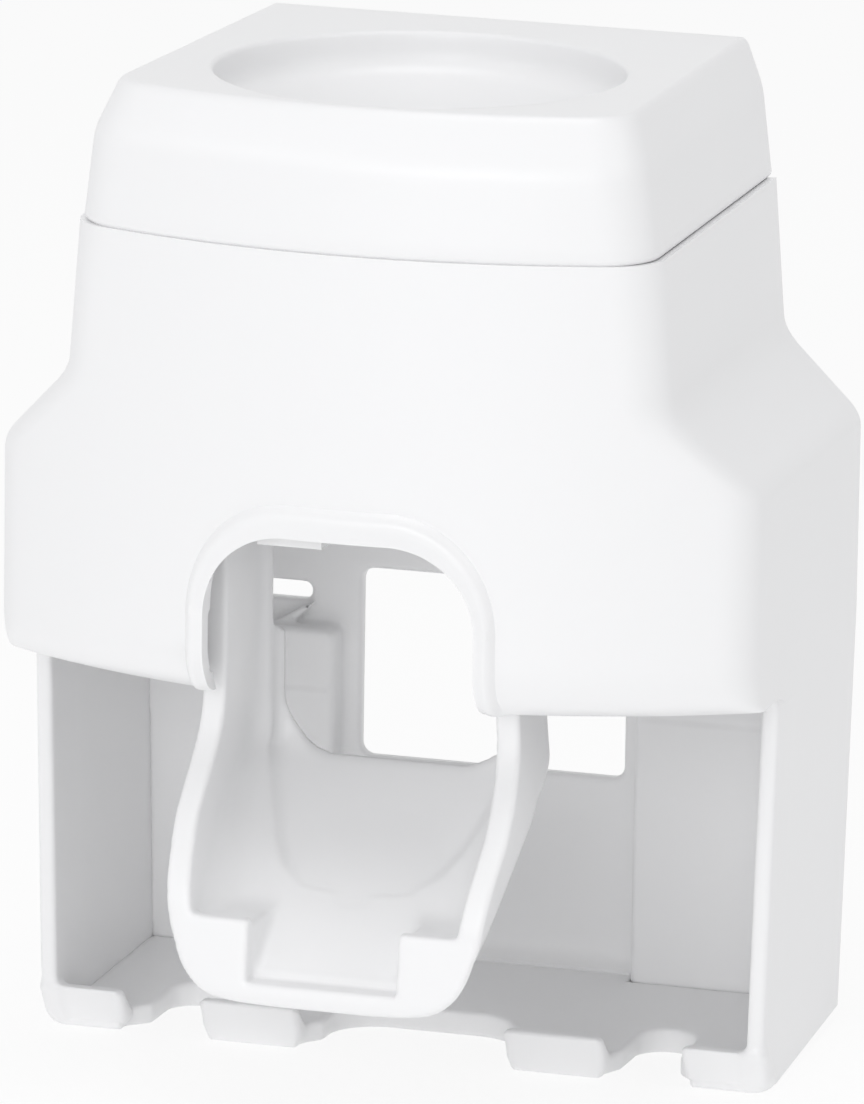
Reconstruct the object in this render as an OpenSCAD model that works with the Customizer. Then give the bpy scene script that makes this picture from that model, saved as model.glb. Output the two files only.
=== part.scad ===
// Hands-free toothpaste dispenser with a toothbrush tray, for a wall or a shelf.
// A tube stands upside down in the bowl of the cap. Pushing a brush against the
// cup swings the lever, whose cross pin drives the piston of a small pump.
// Lengths are millimetres, +Z is up and the front faces -Y. Every piece is drawn
// forward from the wall face (y = 0) and place() centres the whole on its footprint.

/* [Body] */
// Height of the dispenser with its cap
total_h = 140.7; // [136:0.1:150]
// Half width of the belly at its front corners
belly_half_w = 54.6; // [52:0.1:60]
// Half width of the upper block at the seam
block_half_w = 41.7; // [40:0.1:44]
// Half width of the upper block above the shoulders
block_base_half_w = 43.4; // [42:0.1:46]
// Half width of the side walls at the foot
foot_half_w = 53.2; // [52:0.1:56]
// Distance from the wall face to the crest of the front
front_reach = 75.4; // [72:0.1:80]
// Radius of the bowed front, seen from above
front_r = 100; // [90:1:140]
// Radius of the upright corners of the body
corner_r = 8.5; // [6:0.5:10]
// How much each side draws in per millimetre towards the wall
side_draw = 0.035; // [0:0.005:0.05]
// Thickness of the moulded walls
wall = 2.4; // [2:0.1:3]
// Height of the seam between body and cap
seam_z = 121; // [119:0.1:123]
// Height of the upper edge of the shoulders
shoulder_top_z = 99.5; // [98:0.1:101]
// Height of the lower edge of the shoulders
shoulder_low_z = 88.3; // [87:0.1:90]
// Height of the underside of the belly
belly_z = 57.6; // [56:0.1:60]
// Radius of the rolled lower edge of the belly
belly_roll = 4.5; // [3:0.5:6]
// Reach of the side walls below the belly
side_reach = 44.2; // [42:0.1:48]

/* [Arch] */
// Half width of the arched opening
arch_half_w = 19.3; // [18:0.1:20]
// Height of the crown of the opening
arch_top_z = 81.3; // [80:0.1:82]
// Radius of the upper corners of the opening
arch_r = 12; // [8:0.5:14]
// Radius with which the foot of the opening flares out
arch_flare = 5; // [4:0.1:6]
// Width of the raised bead beside the opening
bead_w = 2.9; // [2:0.1:4]
// Width of the raised bead above the opening
bead_top_w = 4.6; // [3:0.1:6]
// How far the bead stands proud of the front
bead_proud = 1.2; // [0.5:0.1:2]

/* [Cap] */
// Inset of the chamfer at the sides
cap_chamfer = 2.7; // [2:0.1:4]
// Inset of the chamfer at the front
cap_front_chamfer = 4.4; // [3:0.1:6]
// Height of the chamfer
cap_chamfer_h = 6.9; // [5:0.1:9]
// Radius of the bowl
bowl_r = 28.4; // [26:0.1:29]
// Distance from the wall face to the middle of the bowl
bowl_reach = 40.6; // [39:0.1:42]
// Depth of the bowl's upright rim
bowl_rim = 3.4; // [2:0.1:5]
// Depth of the bowl at its middle opening
bowl_depth = 11; // [9:0.5:12]
// Radius of the opening in the middle of the bowl
bowl_hole_r = 10.4; // [10:0.1:12]
// Depth of the skirt that locates the cap in the body
skirt_h = 4; // [2:0.5:6]
// Gap between the skirt and the body
skirt_gap = 0.3; // [0.2:0.05:0.5]

/* [Tray] */
// Thickness of the tray floor
floor_t = 2.6; // [2:0.1:3.5]
// Height of the upturned lips at the front
lip_h = 6.3; // [5:0.1:8]
// Half width of the wide middle notch
mid_notch_half_w = 13.4; // [12:0.1:15]
// Depth of the middle notch behind the lips
mid_notch_depth = 17.5; // [14:0.5:20]
// Sideways place of the brush notches
brush_x = 34.6; // [33:0.1:36]
// Width of a brush notch
brush_notch_w = 8.4; // [7:0.1:10]
// Depth of the brush notches behind the lips
brush_notch_depth = 19; // [14:0.5:21]
// Radius of the cove between the back plate and the floor
cove_r = 4; // [2:0.5:6]

/* [Back] */
// Half width of the window in the back plate
window_half_w = 19.7; // [18:0.1:21]
// Height of the lower edge of the window
window_low_z = 32.9; // [31:0.1:34]
// Height of the upper edge of the window
window_top_z = 60.4; // [58:0.1:62]
// Sideways place of the hook slots
slot_x = 33.2; // [31:0.1:35]
// Width of a hook slot
slot_w = 12; // [10:0.5:14]
// Height of a hook slot
slot_h = 2.6; // [2:0.1:4]
// Height of the lower edge of the hook slots
slot_z = 55; // [54:0.1:58]
// Depth of the raised boxes that hold the wall pads
box_depth = 6.6; // [5:0.1:8]
// How far the wall pads stand out behind the back plate
pad_proud = 0.4; // [0.2:0.1:0.8]

/* [Lever] */
// Width of the walls of the cup at its rim
rim_w = 3.4; // [2.5:0.1:4]
// Distance from the wall face to the lever axle
axle_reach = 44; // [42:0.5:46]
// Height of the lever axle
axle_z = 88.5; // [88:0.1:89]
// Radius of the lever axle
axle_r = 2; // [1.5:0.1:2]
// Running gap between axle and bushing
axle_gap = 0.05; // [0.02:0.01:0.1]
// Distance from the wall face to the cross pin
cross_reach = 17.8; // [17.6:0.1:18]
// Height of the cross pin
cross_z = 103.5; // [103:0.1:104]
// Radius of the cross pin
cross_r = 2; // [1.5:0.1:2]
// Half width of the notch in the front of the cup
cup_notch_half_w = 10.8; // [9:0.1:12]
// Height of the bottom of that notch
cup_notch_z = 19.5; // [19:0.1:21]
// Height of the front lip of the cup beside the notch
cup_lip_z = 28; // [26:0.1:30]
// Height of the ledges beside the channel behind the notch
cup_ledge_z = 27.2; // [25:0.1:29]

/* [Pump] */
// Height of the axis of the pump
pump_z = 104; // [103:0.1:105]
// Radius of the pump bore
bore_r = 9.5; // [8:0.1:10]
// Wall of the pump cylinder
bore_wall = 2.5; // [2:0.1:3]
// Sliding gap between piston and bore
piston_gap = 0.05; // [0.02:0.01:0.05]
// Radius of the piston rod
rod_r = 3.5; // [3:0.1:4]
// Radius of the neck of the tube that the seal takes
tube_neck_r = 5.5; // [4:0.1:6]
// Radius of the outlet of the duckbill
outlet_r = 2.2; // [1.5:0.1:2.5]
// Radius of the screws
screw_r = 1.5; // [1:0.1:1.8]

/* [Hidden] */
white = "white";
steel = "silver";
silicone = [0.90, 0.91, 0.90];
rubber = [0.25, 0.25, 0.26];
foam = [0.93, 0.93, 0.90];

// body and back
underside_rise = 2.3;
foot_inset = 0.3;
foot_top_z = belly_z + belly_roll + 4;
carrier_z = 82.4;
carrier_t = 2.4;
carrier_top = carrier_z + carrier_t;
plate_t = 2.2;
plate_gap = 0.1;
plate_low_z = 4.2;
drain_rise = 2.4;
back_open_half_w = 17;
back_open_z = 44.4;
back_open_r = 8;
box_in = 22.4;
box_out = 48.2;
box_low = 3.7;
box_top = 51.8;
box_wall = 1.6;
box_foot = 7;
seam_fit = 0.1;
lug_z = 8;
lug_depth = 9;

// fasteners
screw_head_r = 2.8;
screw_head_h = 1.1;
screw_fit = 0.15;
boss_r = 3.6;
carrier_screw_at = [[-44, -54], [44, -54], [-44, -12], [44, -12]];
back_screw_at = [[-40.5, 66], [40.5, 66], [-34, 108], [34, 108]];
tray_screw_at = [[-28, -3.7], [28, -3.7], [-42, -3.7], [42, -3.7]];

// pump and lever
pump_front = 62;
pump_rear = 27;
chamber_front = 59.5;
inlet_top = seam_z;
inlet_seat = 2.4;
nozzle_reach = 56;
nozzle_r = 5.4;
collar_z = carrier_top - 6.4;
collar_r = 6.9;
collar_gap = 0.5;
tongue_reach = 71.6;
valve_z = carrier_top - 4.9;
crown_front = 34;
pad_back = 20;
cheek_x = 25.2;
cheek_t = 3;
slot_in_x = 16;
arm_x = 19.9;
arm_t = 2.8;
spring_x = 14.5;
post_front = 19.5;
cup_foot_z = 16;
cup_full_z = 40;
cup_back_reach = 43;
cup_back_z = 45.7;
cup_front_t = 2.2;
cup_back_t = 3;

lever_front = cup_front(cup_foot_z);
mid_y = (lever_front - pad_proud) / 2;

module place() translate([0, mid_y, 0]) children();
module mirrored() { children(); mirror([1, 0, 0]) children(); }

// Outlines and skins
// An outline seen from above: straight back, sides that draw in towards the wall,
// round corners of radius r and a bowed front of radius front_r at reach f.
// w is the half width at the corners, b the place of the back.
function corner_c(w, f, r) =
    [w - r, -f + front_r - sqrt(pow(front_r - r, 2) - pow(w - r, 2))];
function half_outline(w, f, r, b, k = side_draw, n = 8, m = 8) =
    let (c = corner_c(w, f, r), a0 = atan(k), a1 = -90 + asin((w - r) / (front_r - r)),
         s = [c.x + r * cos(a0), c.y + r * sin(a0)])
    concat([[s.x - k * (b - s.y), b]],
           [for (i = [0:n]) let (t = a0 + (a1 - a0) * i / n) c + r * [cos(t), sin(t)]],
           [for (i = [1:m]) let (t = a1 - (90 + a1) * i / m)
               [front_r * cos(t), -f + front_r + front_r * sin(t)]]);
function mirror_ring(h) =
    concat([for (p = h) [-p.x, p.y]], [for (i = [len(h) - 2:-1:0]) h[i]]);
function outline(w, f, r, b, k = side_draw) = mirror_ring(half_outline(w, f, r, b, k));

// A solid through rings of equal length; each entry is [z, ring].
module skin(rings) {
    n = len(rings[0][1]);
    m = len(rings);
    polyhedron(
        points = [for (s = rings) for (p = s[1]) [p.x, p.y, s[0]]],
        faces = concat(
            [[for (i = [0:n - 1]) i]],
            [for (j = [0:m - 2]) for (i = [0:n - 1]) for (h = [0, 1])
                let (a = j * n + i, b = j * n + (i + 1) % n)
                h == 0 ? [a, a + n, b] : [b, a + n, b + n]],
            [[for (i = [n - 1:-1:0]) (m - 1) * n + i]]));
}

// The body's form with everything drawn in by t. Its lower edge rolls in under the
// belly, so the same form drawn in leaves a flange there. b is the place of its back.
module body_form(t, z1, b) {
    drop = t * tan(22.5);
    flange = belly_roll + 1;
    foot = [for (z = [belly_z - 1, belly_z + t]) [z, belly_half_w - flange, front_reach - flange]];
    roll = [for (q = [t > 0 ? 75 : 90:-15:0]) let (inset = t + (belly_roll - t) * (1 - cos(q)))
        [belly_z + belly_roll - (belly_roll - t) * sin(q), belly_half_w - inset, front_reach - inset]];
    rows = concat(
        t > 0 ? foot : [],
        roll,
        [[shoulder_low_z - drop, belly_half_w - t, front_reach - t],
         [shoulder_top_z - drop, block_base_half_w - t, front_reach - t],
         [z1, block_half_w - t, front_reach - t]]);
    skin([for (s = rows) [s[0], outline(s[1], s[2], corner_r - t, b)]]);
}

// The side walls below the belly, with everything drawn in by t. They run up inside
// the belly's own walls.
module foot_form(t, z0, b) {
    skin([[z0, outline(foot_half_w - t, front_reach, corner_r - t, b)],
          [foot_top_z, outline(belly_half_w - foot_inset - t, front_reach, corner_r - t, b)]]);
}

// The arch in front view, grown by g at the sides and by up at the crown.
module arch_2d(g, up) {
    w = arch_half_w + g;
    r = arch_r + g;
    top = arch_top_z + up;
    flare = arch_flare - g;
    translate([-w, 0]) square([2 * w, top - r]);
    translate([-w + r, 0]) square([2 * (w - r), top]);
    mirrored() translate([w - r, top - r]) circle(r = r, $fn = 64);
    // the circle reaches a little below the belly, so that the flare ends in an edge
    z = belly_z + flare - 0.4;
    if (flare > 0) mirrored() difference() {
        translate([w - 0.5, 0]) square([flare + 0.5, z]);
        translate([w + flare, z]) circle(r = flare, $fn = 48);
    }
}
module arch_prism(g, up) rotate([90, 0, 0]) linear_extrude(100) arch_2d(g, up);
module front_drum(r, z0, z1)
    translate([0, front_r - front_reach, z0]) cylinder(r = r, h = z1 - z0, $fn = 180);

// Housing
module housing() color(white) place() {
    difference() {
        union() {
            difference() {
                body_form(0, seam_z, 0);
                body_form(wall, seam_z + 1, 1);
                // no flange above the side walls
                side_wall_zone(side_reach - 1) foot_form(wall, 10, 1);
            }
            side_wall_zone(side_reach) difference() {
                foot_form(0, 0, 0);
                foot_form(wall, -1, 1);
            }
            intersection() {
                body_form(0.5, seam_z, 0);
                union() {
                    // bosses that take the carrier screws
                    for (p = carrier_screw_at) translate([p.x, p.y, carrier_top])
                        cylinder(r = boss_r, h = 12, $fn = 48);
                    // lugs that take the back screws, each joined to the side wall
                    for (p = back_screw_at) translate([p.x > 0 ? p.x - 4 : p.x - 14,
                        -plate_t - plate_gap - lug_depth, p.y - lug_z / 2]) cube([18, lug_depth, lug_z]);
                }
            }
            // raised bead round the arch
            intersection() {
                difference() { arch_prism(bead_w, bead_top_w); arch_prism(0, 0); }
                difference() {
                    front_drum(front_r + bead_proud, belly_z, arch_top_z + 10);
                    front_drum(front_r - wall / 2, belly_z - 1, arch_top_z + 11);
                }
                translate([-60, -90, 0]) cube([120, 40, 100]);
            }
        }
        arch_prism(0, 0);
        // underside of the side walls rises a little towards the wall
        translate([0, -side_reach, 0]) rotate([atan(underside_rise / side_reach), 0, 0])
            translate([-80, 0, -10]) cube([160, side_reach + 10, 10]);
        for (p = carrier_screw_at) translate([p.x, p.y, carrier_z])
            cylinder(r = screw_r, h = 9, $fn = 32);
        for (p = back_screw_at) translate([p.x, 1, p.y])
            rotate([90, 0, 0]) cylinder(r = screw_r, h = 11, $fn = 32);
    }
}
module side_wall_zone(reach) intersection() {
    children();
    translate([-80, -reach, -1]) cube([160, reach + 1, 72]);
}

// Back plate
module box_2d(g) mirrored()
    translate([box_in - g, box_low - g]) square([box_out - box_in + 2 * g, box_top - box_low + 2 * g]);
module back_plate() color(white) place() {
    difference() {
        union() {
            intersection() {
                body_form(wall + plate_gap, seam_z, 0);
                plate_slab(foot_top_z, seam_z - seam_fit);
            }
            intersection() {
                foot_form(wall + plate_gap, 0, 0);
                plate_slab(plate_low_z, foot_top_z);
            }
            rotate([90, 0, 0]) linear_extrude(box_depth) box_2d(0);
        }
        // pockets for the pads, open to the wall, over a solid foot that takes the tray screws
        translate([0, 1, 0]) rotate([90, 0, 0]) linear_extrude(box_depth - box_wall + 1) pocket_2d(0);
        translate([0, 5, 0]) rotate([90, 0, 0]) linear_extrude(20)
            rounded_box_2d(window_half_w, window_low_z, window_top_z, 1.8);
        mirrored() translate([slot_x, 5, 0]) rotate([90, 0, 0]) linear_extrude(20)
            rounded_box_2d(slot_w / 2, slot_z, slot_z + slot_h, 1.1);
        for (p = back_screw_at) translate([p.x, 0, p.y]) rotate([90, 0, 0]) {
            cylinder(r = screw_r + screw_fit, h = 10, center = true, $fn = 32);
            cylinder(r = screw_head_r + 0.2, h = 2 * screw_head_h + 0.2, center = true, $fn = 32);
        }
        for (p = tray_screw_at) translate([p.x, p.y, 0]) cylinder(r = screw_r, h = 9.5, $fn = 32);
    }
}
module plate_slab(z0, z1) translate([-60, -plate_t, z0]) cube([120, plate_t, z1 - z0]);
// The pad pocket in each box, with its edges drawn in by g.
module pocket_2d(g) mirrored() translate([box_in + box_wall + g, box_low + box_foot + g])
    square([box_out - box_in - 2 * box_wall - 2 * g, box_top - box_low - box_foot - box_wall - 2 * g]);
module rounded_box_2d(hw, z0, z1, r) {
    translate([-hw, z0 + r]) square([2 * hw, z1 - z0 - 2 * r]);
    translate([-hw + r, z0]) square([2 * (hw - r), z1 - z0]);
    mirrored() for (z = [z0 + r, z1 - r]) translate([hw - r, z]) circle(r = r, $fn = 32);
}

// Tray
module notch(x, w, depth, r) {
    y0 = -side_reach - 2;
    y1 = -side_reach + depth;
    translate([x - w / 2, y0, -1]) cube([w, y1 - r - y0, 12]);
    translate([x - w / 2 + r, y0, -1]) cube([w - 2 * r, y1 - y0, 12]);
    for (s = [-1, 1]) translate([x + s * (w / 2 - r), y1 - r, -1]) cylinder(r = r, h = 12, $fn = 48);
}
module lip(x0, x1) intersection() {
    // hooked front edge: leans forward, so its foot sits behind its top
    translate([x1, 0, 0]) rotate([90, 0, -90]) linear_extrude(x1 - x0)
        polygon([[side_reach - 3.4, 0], [side_reach, lip_h], [side_reach - 2.2, lip_h],
                 [side_reach - 6, floor_t], [side_reach - 8, 0]]);
    union() {
        translate([x0, -side_reach - 1, 2]) cube([x1 - x0, 20, 10]);
        translate([x0 + 2, -side_reach - 1, -1]) cube([x1 - x0 - 4, 20, 10]);
        for (x = [x0 + 2, x1 - 2]) translate([x, 0, 2]) rotate([90, 0, 0])
            cylinder(r = 2, h = side_reach + 1, $fn = 32);
    }
}
module brush_tray() color(white) place() {
    edge = foot_half_w - wall - 0.9;
    cove_y = -cove_r - plate_t - 0.1;
    cove_z = cove_r + floor_t + 0.9 * drain_rise;
    difference() {
        union() {
            difference() {
                // floor, flat below and falling towards the front above
                intersection() {
                    foot_form(wall + plate_gap, 0, -0.3);
                    translate([-60, 0, 0]) rotate([90, 0, 90]) linear_extrude(120) polygon([
                        [-0.3, 0], [-0.3, floor_t + drain_rise], [-side_reach + 3, floor_t],
                        [-side_reach + 3, 0]]);
                }
                notch(0, 2 * mid_notch_half_w, mid_notch_depth, 7);
                for (s = [-1, 1]) notch(s * brush_x, brush_notch_w, brush_notch_depth, 4);
            }
            lip(-edge, -41.6);
            lip(-28.4, -14.6);
            lip(14.6, 28.4);
            lip(41.6, edge);
            // cove between the boxes
            difference() {
                translate([-box_in + 0.2, cove_y, floor_t]) cube([2 * box_in - 0.4, cove_r, 0.65 * cove_r + 2]);
                translate([-box_in, cove_y, cove_z]) rotate([0, 90, 0])
                    cylinder(r = cove_r, h = 2 * box_in, $fn = 64);
            }
        }
        // seats of the boxes and the back plate
        mirrored() translate([box_in - 0.15, -box_depth - 0.15, box_low - 0.1]) cube([30, 10, 10]);
        translate([-60, -plate_t - 0.1, plate_low_z - 0.1]) cube([120, 5, 60]);
        for (p = tray_screw_at) translate([p.x, p.y, -1]) {
            cylinder(r = screw_r + screw_fit, h = 8, $fn = 32);
            cylinder(r = screw_head_r + 0.2, h = 1 + screw_head_h + 0.2, $fn = 32);
        }
    }
}

// A self-adhesive foam pad in its pocket, standing a little proud towards the wall.
module adhesive_pad(s) color(foam) place() intersection() {
    translate([0, pad_proud, 0]) rotate([90, 0, 0]) linear_extrude(box_depth - box_wall + pad_proud)
        pocket_2d(0.3);
    translate([s * 50 - 50, -20, 0]) cube([100, 40, 80]);
}
module adhesive_pad_left() adhesive_pad(-1);
module adhesive_pad_right() adhesive_pad(1);

// Cap
module cap_form(t, z1) {
    c0 = total_h - cap_chamfer_h;
    side = 39.5;
    skin([[seam_z - (t > 0 ? 1 : 0),
           outline(block_half_w - 1.2 - t, front_reach - 0.6 - t, corner_r - t, -t)],
          [seam_z + 0.7, outline(block_half_w - 0.7 - t, front_reach - 0.1 - t, corner_r - t, -t)],
          [c0 - t * 0.4, outline(side - t, front_reach - 0.3 - t, corner_r - t, -t)],
          [z1, outline(side - cap_chamfer * (z1 - c0) / cap_chamfer_h - t,
                       front_reach - 0.3 - cap_front_chamfer * (z1 - c0) / cap_chamfer_h - t,
                       7.5 - t, -t)]]);
}
module bowl_profile(t) {
    // half section of the bowl, its surface drawn t below
    z0 = total_h;
    fillet = 3;
    n = 14;
    floor_z = total_h - bowl_rim - fillet * 0.6;
    deep_z = total_h - bowl_depth;
    polygon(concat(
        [[0, z0 + 1], [bowl_r + t, z0 + 1], [bowl_r + t, z0 - bowl_rim + 0.6]],
        [for (i = [0:n]) let (u = i / n)
            [bowl_r + t - 0.8 - (bowl_r - 0.8 - bowl_hole_r) * u,
             floor_z - t - (floor_z - deep_z) * sin(90 * u)]],
        [[bowl_hole_r, deep_z - t - 0.01], [0, deep_z - t - 0.01]]));
}
module top_cap() color(white) place() {
    difference() {
        union() {
            difference() {
                cap_form(0, total_h);
                cap_form(wall, total_h - wall);
            }
            // underside of the bowl
            intersection() {
                translate([0, -bowl_reach, 0]) rotate_extrude($fn = 120) bowl_profile(1.8);
                cap_form(0, total_h);
            }
            // locating skirt inside the body
            translate([0, 0, seam_z - skirt_h]) difference() {
                linear_extrude(skirt_h + 2) polygon(outline(block_half_w - wall - skirt_gap,
                    front_reach - wall - skirt_gap, corner_r - wall, -4));
                translate([0, 0, -1]) linear_extrude(skirt_h + 4) polygon(outline(
                    block_half_w - wall - skirt_gap - 1.6, front_reach - wall - skirt_gap - 1.6,
                    corner_r - wall - 1.6, -5.6));
            }
        }
        translate([0, -bowl_reach, 0]) rotate_extrude($fn = 120) bowl_profile(0);
        translate([0, -bowl_reach, total_h - bowl_depth - 10]) cylinder(r = bowl_hole_r, h = 12, $fn = 96);
    }
}

// Pump
module along_y(y0, y1, r, z = pump_z, fn = 96)
    translate([0, y1, z]) rotate([90, 0, 0]) cylinder(r = r, h = y1 - y0, $fn = fn);
module pump_body() color(white) place() difference() {
    union() {
        along_y(-pump_front, -pump_rear, bore_r + bore_wall);
        translate([0, -bowl_reach, pump_z]) cylinder(r = 9, h = inlet_top - pump_z, $fn = 96);
        translate([0, -nozzle_reach, carrier_top - 3.4]) cylinder(r = nozzle_r, h = 12, $fn = 64);
        // feet on the carrier
        for (y = [-58, -34]) translate([-15, y, carrier_top]) cube([30, 4, 12]);
    }
    along_y(-chamber_front, -pump_rear + 1, bore_r);
    translate([0, -bowl_reach, pump_z]) cylinder(r = 3.5, h = 20, $fn = 64);
    translate([0, -bowl_reach, inlet_top - inlet_seat]) cylinder(r = 6.5, h = 5, $fn = 64);
    translate([0, -nozzle_reach, carrier_top - 5]) cylinder(r = 2.6, h = 16, $fn = 48);
}
module pump_end_cap() color(white) place() difference() {
    union() {
        along_y(-pump_rear, -pump_rear + 1.4, bore_r + bore_wall);
        along_y(-pump_rear - 2, -pump_rear + 0.5, bore_r - 0.1);
    }
    along_y(-pump_rear - 3, -pump_rear + 3, rod_r + piston_gap, fn = 64);
    along_y(-pump_rear - 3, -pump_rear - 0.6, bore_r - 1.6);
}
module inlet_valve() color(silicone) place()
    translate([0, -bowl_reach, inlet_top - inlet_seat]) difference() {
        cylinder(r = 6.4, h = 1, $fn = 64);
        // a C-shaped cut leaves a flap hinged at the back
        difference() {
            translate([0, 0, -1]) cylinder(r = 4.2, h = 3, $fn = 48);
            translate([0, 0, -2]) cylinder(r = 3.7, h = 5, $fn = 48);
            translate([-2, 0, -2]) cube([4, 8, 5]);
        }
    }
module tube_seal() color(silicone) place() translate([0, -bowl_reach, inlet_top]) difference() {
    union() {
        translate([0, 0, 1 - inlet_seat]) cylinder(r = 6.4, h = inlet_seat - 1, $fn = 64);
        cylinder(r = 9.6, h = 5.5, $fn = 96);
        translate([0, 0, 5.4]) cylinder(r = 8.4, h = 4, $fn = 96);
    }
    translate([0, 0, -2]) cylinder(r = 3.6, h = 20, $fn = 64);
    translate([0, 0, 0.6]) cylinder(r = tube_neck_r, h = 20, $fn = 64);
    translate([0, 0, 8]) cylinder(r1 = tube_neck_r, r2 = tube_neck_r + 1.6, h = 1.5, $fn = 64);
}
module outlet_valve() color(silicone) place() translate([0, -nozzle_reach, 0]) difference() {
    union() {
        translate([0, 0, valve_z]) cylinder(r = 5, h = 1.5, $fn = 64);
        translate([0, 0, valve_z - 2.5]) cylinder(r1 = 3, r2 = 3.8, h = 2.6, $fn = 64);
    }
    translate([0, 0, valve_z - 1.7]) cylinder(r = outlet_r, h = 8, $fn = 48);
    translate([-outlet_r, -0.15, valve_z - 3.1]) cube([2 * outlet_r, 0.3, 4]);
}
module outlet_collar() color(white) place() translate([0, -nozzle_reach, 0]) difference() {
    translate([0, 0, collar_z]) cylinder(r = collar_r, h = carrier_z - 0.1 - collar_z, $fn = 64);
    translate([0, 0, valve_z]) cylinder(r = nozzle_r + 0.05, h = 8, $fn = 64);
    translate([0, 0, collar_z - 1]) cylinder(r = 4, h = 8, $fn = 64);
}
module piston() color(white) place() difference() {
    union() {
        along_y(-crown_front, -crown_front + 4.6, bore_r - piston_gap);
        along_y(-crown_front + 4, -pad_back - 1.8, rod_r, fn = 64);
        along_y(-pad_back - 2, -pad_back, 7);
    }
    difference() {
        along_y(-crown_front + 1.4, -crown_front + 3.2, bore_r + 1);
        along_y(-crown_front, -crown_front + 5, bore_r - 1.5);
    }
}
module piston_ring() color(rubber) place() translate([0, -crown_front + 2.3, pump_z]) rotate([90, 0, 0])
    rotate_extrude($fn = 96) translate([bore_r - 0.75, 0]) circle(r = 0.74, $fn = 24);

// Carrier
module pump_carrier() color(white) place() difference() {
    union() {
        intersection() {
            body_form(wall + plate_gap + 0.2, seam_z, -plate_t - 0.4);
            translate([-60, -80, carrier_z]) cube([120, 78, carrier_t]);
        }
        mirrored() translate([cheek_x, -axle_reach, axle_z]) rotate([0, 90, 0])
            cylinder(r = 6, h = cheek_t, $fn = 64);
        mirrored() translate([cheek_x, -axle_reach - 6, carrier_top - 0.1])
            cube([cheek_t, 12, axle_z - carrier_top]);
        // post under the stop bumper
        translate([-4, -post_front, carrier_top - 0.1]) cube([8, 5, 15]);
        // tongue behind the crown of the arch
        translate([-12.4, -tongue_reach, arch_top_z - 2]) cube([9.2,
            tongue_reach - max(tongue_reach - 5, nozzle_reach + collar_r + collar_gap),
            carrier_z - arch_top_z + 2.2]);
        // posts that hold the lower ends of the return springs
        mirrored() translate([spring_x, -cross_reach, carrier_top - 0.1]) cylinder(r = 2, h = 1.6, $fn = 32);
    }
    // slots for the lever arms
    mirrored() translate([slot_in_x, -68, carrier_z - 1]) cube([cheek_x - slot_in_x, 40, carrier_t + 2]);
    translate([0, -nozzle_reach, carrier_z - 1]) cylinder(r = nozzle_r + 0.2, h = 6, $fn = 64);
    mirrored() translate([cheek_x - 1, -axle_reach, axle_z]) rotate([0, 90, 0])
        cylinder(r = axle_r + 1.2, h = 6, $fn = 64);
    for (p = carrier_screw_at) translate([p.x, p.y, carrier_z - 1])
        cylinder(r = screw_r + screw_fit, h = 6, $fn = 32);
}
module axle_bushing_left() color(silicone) place() mirror([1, 0, 0]) bushing_right_form();
module axle_bushing_right() color(silicone) place() bushing_right_form();
module bushing_right_form()
    translate([cheek_x - 0.8, -axle_reach, axle_z]) rotate([0, 90, 0]) difference() {
        union() {
            cylinder(r = axle_r + 2.2, h = 0.8, $fn = 64);
            cylinder(r = axle_r + 1.2, h = cheek_t + 0.8, $fn = 64);
        }
        translate([0, 0, -1]) cylinder(r = axle_r + axle_gap, h = 8, $fn = 64);
    }
module stop_bumper() color(rubber) place()
    translate([-3.4, -post_front + 0.2, carrier_top + 14.9]) cube([6.8, 4.6, 1.6]);

// A wound spring along Z: n turns of wire radius w on radius r, from z0 to z1.
module spring(x, y, z0, z1, r, w, n) {
    steps = 8 * n;
    function ring(i) = let (t = 360 * i / 8, z = z0 + (z1 - z0) * i / steps)
        [for (j = [0:5]) let (a = 60 * j)
            [x + (r + w * cos(a)) * cos(t), y + (r + w * cos(a)) * sin(t), z + w * sin(a)]];
    pts = [for (i = [0:steps]) each ring(i)];
    // least gap between two turns, measured on their points
    echo(turn_gap = min([for (i = [0:7]) for (p = ring(i)) for (q = ring(i + 8)) norm(p - q)]));
    polyhedron(points = pts, faces = concat(
        [[for (j = [0:5]) j]],
        [for (i = [0:steps - 1]) for (j = [0:5]) for (h = [0, 1])
            let (a = i * 6 + j, b = i * 6 + (j + 1) % 6) h == 0 ? [a, a + 6, b] : [b, a + 6, b + 6]],
        [[for (j = [5:-1:0]) steps * 6 + j]]));
}
module return_spring(x) color(steel) place()
    spring(x, -cross_reach, carrier_top + 2.1, cross_z - cross_r - 0.7, 2.6, 0.4, 9);
module return_spring_left() return_spring(-spring_x);
module return_spring_right() return_spring(spring_x);

// Lever
function blend(u) = let (v = min(1, max(0, u))) v * v * (3 - 2 * v);
// Half width of the cup at height z: full at mid height, rounding in to its foot.
function cup_w(z) = z >= cup_full_z ? 23.9 - 1.1 * blend((z - cup_full_z) / 18)
    : (23.9 - 0.11 * (cup_full_z - z))
      * pow(1 - pow((cup_full_z - z) / (cup_full_z - cup_foot_z + 0.05), 5), 0.2);
// Reach of its front rim, which sweeps forward below the belly.
function cup_front(z) = 63.4 + 15 * blend((54 - z) / 26) + 0.12 * max(0, 28 - z);
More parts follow.
